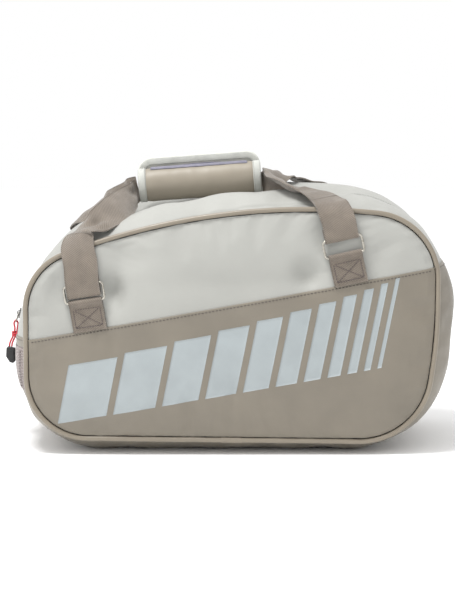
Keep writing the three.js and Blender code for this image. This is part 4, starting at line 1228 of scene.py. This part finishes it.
def slider_matrix():
    c, s = math.cos(SLIDER_ANGLE), math.sin(SLIDER_ANGLE)
    origin = (ZIP_ARC_X - ZIP_ARC_R * c, 0, ZIP_ARC_Z + ZIP_ARC_R * s)
    along, out = np.array([s, 0, c]), np.array([-c, 0, s])
    return frame_matrix(along, np.cross(out, along), out, origin)


SLIDER_LOW, SLIDER_TOP = 2.7, 4.0  # the plate's faces, off the gusset
BRIDGE_R, BRIDGE_Z = 2.65, 3.8


def add_slider():
    """A plate, a flange down each side and the bridge that the puller hangs from."""
    matrix = slider_matrix()
    outline = [(-6.5, -3.8), (-2, -4.5), (2.5, -5.1), (4.6, -4.6), (6, -3), (6.5, 0)]
    outline = outline + [(x, -y) for x, y in reversed(outline[:-1])]
    plate = slab("zip_slider_plate", outline, SLIDER_LOW, SLIDER_TOP, 0.5, matrix)
    place(plate, GUNMETAL, "slider", ["zip_slider"], "metal")
    for k, side in enumerate((-1, 1)):
        rail = rounded_profile(9, 1.0, 0.3) + [-1.5, side * 4.0]
        flange = slab(f"zip_slider_flange_{k + 1}", rail, 0.4, 3.1, 0.25, matrix)
        place(flange, GUNMETAL, "slider", slot="metal")
    angle = np.linspace(0, math.pi, 17)
    x, z = BRIDGE_R * np.cos(angle), BRIDGE_Z + BRIDGE_R * np.sin(angle)
    path = transform(matrix, np.stack([x, 0 * angle, z], axis=1))
    radial = unit(path - transform(matrix, [0, 0, BRIDGE_Z]))
    across = np.broadcast_to(matrix[:3, 1], path.shape)
    bridge = sweep("zip_slider_bridge", path, across, radial, rounded_profile(2.2, 1.3, 0.4))
    place(bridge, GUNMETAL, "slider", slot="metal")


PULLER_TOP = np.array([-265.3, 0, 155.6])
PULLER_LENGTH, PULLER_WIDTH, PULLER_LEAN = 12.4, 6.4, math.radians(17)
PULLER_ALONG = np.array([-math.sin(PULLER_LEAN), 0, -math.cos(PULLER_LEAN)])
PULLER_WIRE_R = 0.65  # the CAD's, which the cord goes round
CORD_R = 1.1
KNOT_TURNS, KNOT_REACH, KNOT_DEPTH, KNOT_RISE = 2.6, 3.4, 2.3, 0.34
TOGGLE_X, TOGGLE_Z = -276, 102.5
TOGGLE_HEIGHT, TOGGLE_WIDTH, TOGGLE_DEPTH = 21, 11.5, 7


def add_puller():
    middle = PULLER_TOP + PULLER_ALONG * PULLER_LENGTH / 2
    side = np.array([0.0, 1.0, 0.0])
    matrix = frame_matrix(side, PULLER_ALONG, np.cross(side, PULLER_ALONG), middle)
    path = wire_loop(PULLER_WIDTH, PULLER_LENGTH, 2, matrix, 0.6)
    puller = tube("zip_puller_wire", path, 0.7, 12, closed=True)
    place(puller, NICKEL, "puller", ["zip_puller"], "metal")


def cord_route():
    """Up from the toggle, over the puller's lower bar and down again."""
    bar = PULLER_TOP + PULLER_ALONG * PULLER_LENGTH
    foot = TOGGLE_Z + TOGGLE_HEIGHT / 2 + GAP
    over = PULLER_WIRE_R + CORD_R + 2 * GAP
    x, z = bar[0], bar[2]
    route = [
        (TOGGLE_X + 1.5, foot), (TOGGLE_X + 1.9, foot + 3), (TOGGLE_X + 3.3, foot + 7),
        (x - 1.5, z - 19), (x + 0.3, z - 15), (x + 1.5, z - 8), (x + over, z - 1),
        (x, z + over),
        (x - over, z - 1), (x - 1.5, z - 8), (x - 2.7, z - 15), (x - 4.5, z - 19),
        (TOGGLE_X + 0.3, foot + 7), (TOGGLE_X - 1.1, foot + 3), (TOGGLE_X - 1.5, foot),
    ]
    return bar, np.array([(x, 0.0, z) for x, z in route])


def add_cord():
    """The braided cord and its knot."""
    bar, route = cord_route()
    path = resample(route, 1.0)
    cord = tube("pull_cord_braid", path, CORD_R, 12)
    cord_body = place(cord, RED_CORD, "pull", ["pull_cord"], "cord")
    turn = np.linspace(0, KNOT_TURNS * 2 * math.pi, 70)
    x, _, z = (route[4] + route[-5]) / 2
    across = x + KNOT_REACH * np.cos(turn)
    up = z - 3 + turn * KNOT_RISE + 0.6 * np.sin(turn)
    knot = np.stack([across, KNOT_DEPTH * np.sin(turn), up], axis=1)
    knot = tube("pull_cord_knot", knot, CORD_R, 10)
    place(knot, RED_CORD, "pull", slot="cord")


def add_toggle():
    """A rubber tab with a raised middle on its front."""
    w, h = TOGGLE_WIDTH, TOGGLE_HEIGHT
    corners = [(-0.3 * w, h / 2), (0.5 * w, 0.42 * h), (0.5 * w, -0.38 * h), (0.28 * w, -h / 2),
               (-0.1 * w, -0.45 * h), (-0.5 * w, -0.1 * h), (-0.45 * w, 0.4 * h)]
    outline = rounded_corners(corners, 1.2)
    matrix = frame_matrix((1, 0, 0), (0, 0, 1), (0, -1, 0), (TOGGLE_X, 0, TOGGLE_Z))
    half = TOGGLE_DEPTH / 2
    toggle = slab("pull_toggle_body", outline, -half, half, 1.1, matrix)
    place(toggle, BLACK_RUBBER, "pull", ["pull_toggle"], "toggle")
    raised = np.array(outline) * 0.62 + [0.4, -0.6]
    face = slab("pull_toggle_face", raised, half - 0.6, half + 0.45, 0.35, matrix)
    place(face, BLACK_RUBBER, "pull", slot="toggle")


# ---- Grab strap across the left end -------------------------------------------------------

GRAB_LOW, GRAB_HIGH, GRAB_STAND_OFF = 77, 128, 2.4
GRAB_T, GRAB_LIFT = 1.6, 2.2


def add_grab_strap():
    """Ribbed webbing over the left end, sewn down in front and behind with two rows each."""
    fine = np.linspace(0, OUTLINE.length * 0.5, 4000)
    x, z = OUTLINE.at(fine)[:2]
    on_left = fine[(x < -200) & (z > GRAB_LOW) & (z < GRAB_HIGH)]
    s = np.linspace(on_left[0], on_left[-1], 28)
    v = np.linspace(-SEWN_SHARE, SEWN_SHARE, 90)
    outer = np.maximum(0, np.abs(v) - CREST_FLAT) / (1 - CREST_FLAT)
    stand_off = GRAB_STAND_OFF * (1 - outer ** 2) * smooth_step(v, -0.7, 0)
    lift = GRAB_LIFT + stand_off + 0.5 * np.sin(v * 9)
    grid = gusset_grid(s, v, lift=lift[None, :], wrinkle=0.6)
    grab = shell("end_grab_strap_webbing", np.swapaxes(grid, 0, 1), GRAB_T)
    place(grab, GRAB_CLOTH, "bag", ["end_grab_strap"], "webbing")
    rows = []
    for edge in (-1, 1):
        for inset in (0.93, 0.9):
            line = gusset_grid(s[2:-2], [edge * inset], lift=GRAB_LIFT + 1, wrinkle=0.6)[:, 0]
            rows.append((line, (-1, 0, 0)))
    stitches("end_grab_strap_stitches", rows, PINK_THREAD)


# ---- Handle straps, rings and anchors -----------------------------------------------------

# Each leg from above its ring to the grip: where its middle runs, and the way across it. The
# back legs are given as if on the front, and mirrored in Y.
LEG_ROUTES = {
    "front_left": [
        ((-177, -137.5, 231), (0.97, 0, 0.22)), ((-180, -133, 243), (0.95, 0, 0.3)),
        ((-181, -126, 252), (0.92, 0, 0.38)), ((-179, -115, 262), (0.9, -0.1, 0.42)),
        ((-170, -108, 268), (0.72, -0.65, 0.05)), ((-155, -98, 277.5), (0.4, -0.76, -0.5)),
        ((-140, -75, 288), (0.3, -0.7, -0.62)), ((-129, -47, 297), (0.2, -0.72, -0.66)),
        ((-122, -25, 302.5), (0.12, -0.65, -0.75)), ((-119, -11, 306.5), (0.08, -0.35, -0.93)),
        ((-115.6, -5, 309.5), (0.07, 0, -1)),
    ],
    "back_left": [
        ((-177, -137.5, 231), (0.97, 0, 0.22)), ((-181, -133, 243), (0.93, 0, 0.36)),
        ((-186, -125, 252), (0.85, 0, 0.52)), ((-191, -112, 260), (0.78, 0, 0.62)),
        ((-192, -92, 268), (0.76, 0, 0.65)), ((-183, -70, 275), (0.8, 0.15, 0.58)),
        ((-165, -48, 283), (0.7, 0.35, 0.62)), ((-147, -31, 293), (0.4, 0.3, 0.88)),
        ((-132, -17, 303), (0.12, 0.15, 0.98)), ((-124.5, -7, 309.5), (-0.05, 0, 1)),
        ((-115.6, -5, 312), (-0.07, 0, 1)),
    ],
    "front_right": [
        ((125, -136.5, 281), (0.98, 0, 0.1)), ((121, -132, 291), (0.99, 0.02, 0.04)),
        ((117, -125, 298.5), (1, 0.05, 0)), ((109, -112, 305), (0.93, 0.35, 0)),
        ((93, -98, 312.5), (0.55, 0.83, 0.0)), ((74, -84, 318.5), (0.1, 0.99, 0.0)),
        ((62, -64, 321.5), (0.0, 0.98, -0.1)), ((53, -42, 321), (0, 0.95, -0.3)),
        ((47, -22, 319), (0.03, 0.75, -0.65)), ((42.5, -10, 317), (0.05, 0.3, -0.95)),
        ((39.5, -5, 316), (0.07, 0, -1)), ((38, -5, 315.8), (0.07, 0, -1)),
    ],
    "back_right": [
        ((125, -136.5, 281), (0.98, 0, 0.1)), ((121, -132, 291), (0.99, 0.02, 0.04)),
        ((116, -125, 301), (1, 0.05, 0)), ((107, -112, 310), (0.93, 0.35, 0)),
        ((91, -98, 317), (0.55, 0.83, 0.05)), ((72, -84, 323), (0.1, 0.99, 0.05)),
        ((61, -62, 326), (0.0, 0.97, -0.05)), ((53, -38, 324.5), (0, 0.9, -0.3)),
        ((47, -20, 321), (0.03, 0.7, -0.7)), ((42.5, -9, 318), (0.05, 0.25, -0.97)),
        ((39.5, -5, 317), (0.07, 0, -1)), ((38, -5, 316.8), (0.07, 0, -1)),
    ],
}
FIXED_STATION = 3  # of a leg's route, where its lower part ends and its upper part starts


def anchor_matrix(anchor, side):
    """An anchor's own axes on the panel: across it, up it to its ring, and out of the bag."""
    anchor_x, lean, _ = ANCHORS[anchor]
    lean = math.radians(lean)
    foot = diagonal_z(anchor_x)

    def surface(sideways, upwards):
        x = anchor_x + math.cos(lean) * sideways - math.sin(lean) * upwards
        z = foot + math.sin(lean) * sideways + math.cos(lean) * upwards
        depth = panel_depth(np.array([x]), np.array([z]), folds=0)[0]
        return np.array([x, side * depth, z])

    reach = ANCHOR_LENGTH + RING_PITCH
    origin = surface(0, 0)
    up = unit(surface(0, reach) - origin)
    half = WEBBING / 2
    across = surface(-side * half, reach / 2) - surface(side * half, reach / 2)
    out = unit(np.cross(across, up))
    return frame_matrix(np.cross(up, out), up, out, origin + out * ANCHOR_LIFT)


def add_anchor(name, matrix):
    """Doubled webbing: up the front, round the ring's lower bar and down the back."""
    turn_r = RING_WIRE_R + 0.35 + 0.8
    front, back = 3.1, 0.75
    route = [(-1.5, front - 0.7), (6, front), (22, front + 0.1), (29, front + 1.0)]
    for degrees in (115, 85, 55, 25, 0, -30, -60, -85):
        angle = math.radians(degrees)
        up = ANCHOR_LENGTH + turn_r * math.cos(angle)
        route.append((up, RING_STAND_OFF + turn_r * math.sin(angle)))
    route += [(29, back + 0.5), (22, back), (-1.5, back - 0.2)]
    stations = [(transform(matrix, [0, up, out]), matrix[:3, 0]) for up, out in route]
    grid, normal = ribbon_grid(stations, WEBBING, 1.6, 15)
    obj = strap(f"strap_anchor_{name}_webbing", grid, normal, 1.5)
    place(obj, WEBBING_CLOTH, "bag", [f"strap_anchor_{name}"], "webbing")
    half, low, high, height = 16.0, 4.0, 25.5, 3.95
    box = [(-half, low, height), (half, low, height), (half, high, height), (-half, high, height)]
    paths = []
    for a, b in ((0, 1), (1, 2), (2, 3), (3, 0), (0, 2), (1, 3)):
        line = np.linspace(box[a], box[b], 9)
        paths.append((transform(matrix, line), matrix[:3, 2]))
    stitches(f"strap_anchor_{name}_stitches", paths, PINK_THREAD, pitch=3.0, length=2.5, radius=0.5)


def add_ring(name, matrix):
    place_in = matrix.copy()
    place_in[:3, 3] = transform(matrix, [0, ANCHOR_LENGTH + RING_PITCH / 2, RING_STAND_OFF])
    path = wire_loop(RING_SPAN, RING_PITCH, 3.6, place_in)
    ring = tube(f"strap_ring_{name}_wire", path, RING_WIRE_R, 16, closed=True)
    place(ring, NICKEL, f"ring_{name}", [f"strap_ring_{name}"], "metal")


def loop_stations(matrix, slack):
    """The strap's turn round the ring's upper bar, hanging past it by its slack."""
    bar = ANCHOR_LENGTH + RING_PITCH
    fold = bar - slack
    radius = RING_WIRE_R + 0.5 + WEBBING_T / 2
    back = RING_STAND_OFF - radius
    route = [(bar + 14, back), (fold + 4, back)]
    for degrees in (90, 60, 30, 0, -30, -60, -90):
        angle = math.radians(degrees)
        route.append((fold - radius * math.cos(angle), RING_STAND_OFF - radius * math.sin(angle)))
    route.append((bar + 4, RING_STAND_OFF + radius))
    across = matrix[:3, 0] * (1 if matrix[0, 0] > 0 else -1)
    return [(transform(matrix, [0, up, out]), across) for up, out in route]


LEG_NARROW = [(0, 1), (0.72, 1), (0.9, 0.74), (1, 0.68)]  # gathered into the grip
LEG_CURL = {  # how far the middle stands off the edges, by share of the way to the grip
    "front_left": [(0.35, 0), (0.47, 2.5), (0.55, -3), (0.7, 2.5), (0.85, 3), (1, 0.5)],
    "back_left": [(0.35, 0), (0.5, 1.2), (0.7, 3.5), (0.85, 2), (1, 0.5)],
    "front_right": [(0.3, 0), (0.45, 0.5), (0.58, -6), (0.68, -4), (0.8, 6), (0.93, 3), (1, 0.5)],
    "back_right": [(0.3, 0), (0.42, -3.5), (0.55, -1), (0.65, -2), (0.8, 4), (0.93, 3), (1, 0.5)],
}
LEG_PLEATS = {  # where a leg is gathered: share of the way, height and number of pleats
    "front_left": [(0.55, 2.6, 2.0), (0.93, 1.5, 1.5)],
    "back_left": [(0.62, 1.6, 1.0)],
    "front_right": [(0.83, 3.2, 1.5), (0.6, 1.4, 1.0)],
    "back_right": [(0.7, 2.6, 1.5), (0.48, 1.6, 1.0)],
}
PLEAT_REACH = 9  # millimetres along the strap


def pleated(grid, normal, pleats):
    """A strap's points and normals with it gathered into pleats here and there."""
    far = run_lengths(grid[:, grid.shape[1] // 2])
    share = np.linspace(-1, 1, grid.shape[1])
    for at, height, count in pleats:
        near = np.exp(-((far - at * far[-1]) / PLEAT_REACH) ** 2)
        wave = np.cos(share * count * math.pi + 0.8) * height
        grid = grid + normal * (near[:, None] * wave[None, :])[..., None]
    return grid, grid_normals(grid)


def add_leg(name, matrix, anchor, side, seed):
    """A handle strap from its ring to the grip, in two parts: the lower one round the ring, and the
    upper one on to the grip."""
    route = [
        (np.array([x, -side * y, z], float), unit([a, -side * b, c]))
        for (x, y, z), (a, b, c) in LEG_ROUTES[name]
    ]
    stations = loop_stations(matrix, ANCHORS[anchor][2]) + route
    curl = [(share, -side * amount) for share, amount in LEG_CURL[name]]
    grid, normal = ribbon_grid(
        stations, WEBBING, curl=curl, narrow=LEG_NARROW, crumple=1.0, seed=seed
    )
    grid, normal = pleated(grid, normal, LEG_PLEATS[name])
    fixed, end = route[FIXED_STATION][0], route[-1][0]
    split = int(np.argmin(np.linalg.norm(grid[:, grid.shape[1] // 2] - fixed, axis=1)))
    bar, above = transform(matrix, [
        [0, ANCHOR_LENGTH + RING_PITCH, RING_STAND_OFF],
        [0, ANCHOR_LENGTH + RING_PITCH + 14, RING_STAND_OFF],
    ])
    node = [f"handle_strap_{name}"]
    lower = strap(f"handle_strap_{name}_lower", grid[:split + 1], normal[:split + 1], cut=True)
    place(lower, WEBBING_CLOTH, (f"ring_{name}", "bag", bar, above), node, "webbing")
    upper = strap(f"handle_strap_{name}_upper", grid[split:], normal[split:], cut=True)
    place(upper, WEBBING_CLOTH, ("bag", "grip", fixed, end), node, "webbing")


def add_handles():
    for side_name, side in SIDES.items():
        for k, anchor in enumerate(ANCHORS):
            name = f"{side_name}_{anchor}"
            matrix = anchor_matrix(anchor, side)
            add_anchor(name, matrix)
            add_ring(name, matrix)
            add_leg(name, matrix, anchor, side, 31 + 7 * k + side)


# ---- Grip wrap ----------------------------------------------------------------------------

WRAP_FROM, WRAP_TO = -14, 296  # degrees round the grip: 0 is its top and 90 its front
HINGE_Y, HINGE_Z = 14.4, 11.5
FLAP_HEIGHT, FLAP_T, FLAP_LEAN = 22.5, 3, 10
FLAP_TURN = math.radians(90 + FLAP_LEAN)
FLAP_CORNER, FLAP_FOOT = 12.5, 3.0
STITCH_IN = 3.6  # a binding's stitches, from its middle
GRIP_HALF = GRIP_LENGTH / 2
GRIP_INNER = GRIP_HALF - GRIP_BINDING


def grip_matrix():
    c, s = math.cos(math.radians(GRIP_TILT)), math.sin(math.radians(GRIP_TILT))
    return frame_matrix((c, 0, s), (0, 1, 0), (-s, 0, c), (GRIP_X, 0, GRIP_Z))


GRIP_MATRIX = grip_matrix()


def oval(degrees, inset):
    """y and z round the grip's section, drawn in by the inset."""
    angle = np.radians(degrees)
    y = -(GRIP_HALF_DEPTH - inset) * np.sin(angle)
    return y, (GRIP_HALF_HEIGHT - inset) * np.cos(angle)


def oval_grid(x, degrees, inset):
    """Points along and round the grip."""
    y, z = oval(degrees[None, :], inset)
    return transform(GRIP_MATRIX, np.stack(np.broadcast_arrays(x[:, None], y, z), axis=2))


def grip_shell(name, grid, thickness):
    return shell(name, grid, thickness, normals_from(grid, GRIP_MATRIX[:3, 3]))


WRAP_T, FOLD_T, CORE_T = 3.0, 1.8, 1.4


def add_wrap():
    """The padded wrap, its lining, the loop tape on it and the binding round both ends."""
    x = np.linspace(-GRIP_INNER - 1.5, GRIP_INNER + 1.5, 90)
    angle = np.linspace(WRAP_FROM, WRAP_TO, 96)
    soft = 0.5 * ripple(x[:, None], angle[None, :] * 0.3, 34, 17)
    ends = 0.7 * np.exp(-(GRIP_INNER + 1.5 - np.abs(x[:, None])) / 4)
    wrap = grip_shell("grip_wrap_cloth", oval_grid(x, angle, -0.5 - soft + ends), WRAP_T)
    place(wrap, WRAP_CLOTH, "grip", ["grip_wrap"], "taupe_coated", fill=WRAP_FILL)
    lining = grip_shell("grip_lining_cloth", oval_grid(x, angle, 2.9), 0.9)
    place(lining, LINING, "grip", ["grip_lining"], "lining")
    tape_angle = np.linspace(WRAP_FROM + 4, 26, 12)
    tape_x = np.linspace(-GRIP_INNER + 6, GRIP_INNER - 6, 60)
    tape = grip_shell("grip_loop_tape_pile", oval_grid(tape_x, tape_angle, -1.9), 1.3)
    place(tape, HOOK_TAPE, "grip", ["grip_loop_tape"], "lining")
    profile = rounded_profile(GRIP_BINDING, 4.8, 2.2, 5)
    rows = []
    for name, side in (("left", -1), ("right", 1)):
        centre = side * (GRIP_HALF - GRIP_BINDING / 2)
        path = oval_grid(np.array([centre]), angle, 1.5)[0]
        radial = unit(path - transform(GRIP_MATRIX, [centre, 0, 0]))
        across = np.broadcast_to(GRIP_MATRIX[:3, 0], path.shape)
        binding = sweep(f"grip_binding_{name}_tape", path, across, radial, profile)
        place(binding, BINDING_TAPE, "grip", [f"grip_binding_{name}"], "binding", fill=TAPE_FILL)
        line = oval_grid(np.array([centre - side * STITCH_IN]), angle, -1.15)[0]
        rows.append((line, radial))
    stitches("grip_binding_stitches", rows, PALE_THREAD, "grip", 2.9, 2.1, 0.28)


def flap_matrix():
    """The flap's own axes: along the grip, up the flap, and out of its front."""
    c, s = math.cos(FLAP_TURN), math.sin(FLAP_TURN)
    return GRIP_MATRIX @ frame_matrix((1, 0, 0), (0, c, s), (0, -s, c), (0, HINGE_Y, HINGE_Z))


def flap_edge():
    """The middle of the flap's binding: up one end, along the top and down the other."""
    corner, reach = FLAP_CORNER, GRIP_HALF - GRIP_BINDING / 2
    top = FLAP_HEIGHT - GRIP_BINDING / 2
    route = [(-reach, y) for y in np.linspace(FLAP_FOOT, top - corner, 4)]
    for k in range(1, 14):
        angle = math.pi - k / 14 * math.pi / 2
        x = -reach + corner * (1 + math.cos(angle))
        route.append((x, top - corner * (1 - math.sin(angle))))
    route += [(x, top) for x in np.linspace(-reach + corner, 0, 12)]
    return np.array(route + [(-x, y) for x, y in reversed(route[:-1])])


def add_flap():
    """The flap's padded cloth, which stands up along the grip's top."""
    matrix = flap_matrix()
    front = matrix[:3, 2]
    x = np.linspace(-GRIP_INNER - 1, GRIP_INNER + 1, 70)
    y = np.linspace(FLAP_FOOT, FLAP_HEIGHT - GRIP_BINDING + 1.5, 14)
    gx, gy = np.meshgrid(x, y, indexing="ij")
    swell = 0.35 * np.sin(math.pi * (gy - y[0]) / (y[-1] - y[0])) + 0.25 * ripple(gx, gy, 40, 9)
    grid = transform(matrix, np.stack([gx, gy, FLAP_T / 2 + swell - 0.4], axis=2))
    flap = shell("grip_flap_cloth", grid, FLAP_T, np.broadcast_to(front, grid.shape))
    # The flap's cloth is painted lighter than its own colour, painted light against the flap's
    # shade.
    place(flap, FLAP_CLOTH_PAINTED_LIGHT, "flap", ["grip_flap"], "taupe_coated", fill=PANEL_FILL)


def add_hook_tape():
    """A crescent of hook tape on the flap's front."""
    reach, foot = GRIP_INNER - 8, 2.6
    spread = np.linspace(-1, 1, 41)
    top = 3.5 + 8.2 * (1 - np.abs(spread) ** 2.6) + 0.8 * spread
    outline = [(-reach, foot), (reach, foot)] + list(zip(reach * spread, top))[::-1]
    low, high = FLAP_T / 2 + 0.2, FLAP_T / 2 + 1.4
    hooks = slab("grip_hook_tape_hooks", outline, low, high, 0.3, flap_matrix())
    place(hooks, HOOK_TAPE, "flap", ["grip_hook_tape"], "lining")


def add_flap_binding():
    """The tape that binds the flap's edge, and its stitches."""
    matrix = flap_matrix()
    front = matrix[:3, 2]
    route = flap_edge()
    ahead = unit(np.gradient(route, axis=0))
    across = np.stack([-ahead[:, 1], ahead[:, 0]], axis=1)
    wave = 0.35 * ripple(route[:, 0], route[:, 1], 30, 4)
    path = transform(matrix, np.column_stack([route, wave]))
    side = across @ matrix[:3, :2].T
    profile = rounded_profile(GRIP_BINDING, 4.4, 2.0, 5)
    out = np.broadcast_to(front, path.shape)
    binding = sweep("grip_flap_binding_tape", path, side, out, profile)
    # The tape is painted lighter than the grip's own binding, painted light against the flap's
    # shade.
    place(binding, FLAP_TAPE_PAINTED_LIGHT, "flap", ["grip_flap_binding"], "binding", fill=TAPE_FILL)
    inner = route - across * (STITCH_IN + 0.1)
    line = transform(matrix, np.column_stack([inner, np.full(len(inner), 2.1)]))
    stitches("grip_flap_stitches", [(line, front)], PALE_THREAD, "flap", 2.9, 2.1, 0.28)


def add_flap_fold():
    """The cloth between the wrap and the flap, bent to meet the flap's lean."""
    c, s = math.cos(FLAP_TURN), math.sin(FLAP_TURN)
    section = list(zip(*oval(np.array([286.0, 294.0]), 0.6)))
    start = transform(GRIP_MATRIX, [0, *section[1]])
    end = transform(GRIP_MATRIX, [0, HINGE_Y, HINGE_Z + 3])
    section += [(HINGE_Y + c * up, HINGE_Z + s * up) for up in (1.5, 4.5)]
    _, y, z = resample([(0, y, z) for y, z in section], 0.8).T
    x = np.linspace(-GRIP_HALF + 1, GRIP_HALF - 1, 60)
    grid = transform(GRIP_MATRIX, np.stack(np.broadcast_arrays(x[:, None], y, z), axis=2))
    fold = grip_shell("grip_flap_fold_cloth", grid, FOLD_T)
    # The fold takes the flap's cloth, painted lighter than its own colour against the flap's shade.
    place(fold, FLAP_CLOTH_PAINTED_LIGHT, ("grip", "flap", start, end), slot="taupe_coated")


def add_cores():
    """The two handle straps inside the grip."""
    for name, side in SIDES.items():
        x = np.linspace(-GRIP_HALF, GRIP_HALF, 30)
        z = np.linspace(-13.5, 12.5, 12)
        gx, gz = np.meshgrid(x, z, indexing="ij")
        grid = transform(GRIP_MATRIX, np.stack([gx, side * 4.1 + 0.2 * np.sin(gz / 4), gz], axis=2))
        out = np.broadcast_to(np.array([0, side, 0]), grid.shape)
        core = shell(f"handle_core_{name}_webbing", grid, CORE_T, out)
        place(core, WEBBING_CLOTH, "grip", [f"handle_core_{name}"], "webbing")


def add_base_board():
    outline = rounded_profile(238, 134, 20, 8) + [8, 0]
    board = slab("base_board_plate", outline, 6.9, 9.5, 0.8, np.eye(4))
    place(board, BOARD, "bag", ["base_board"], "board")


# ---- The whole bag ------------------------------------------------------------------------

add_toggle()
add_cord()
SETTLED["panel"], SETTLED["gusset"] = settle_panel(), settle_gusset()
add_puller()
add_slider()
for side_name, side_sign in SIDES.items():
    add_panels(side_name, side_sign)
    add_piping(side_name, side_sign)
add_gusset()
add_zip()
add_print()
add_linings()
add_grab_strap()
add_handles()
add_wrap()
add_flap()
add_hook_tape()
add_flap_binding()
add_flap_fold()
add_cores()
add_base_board()
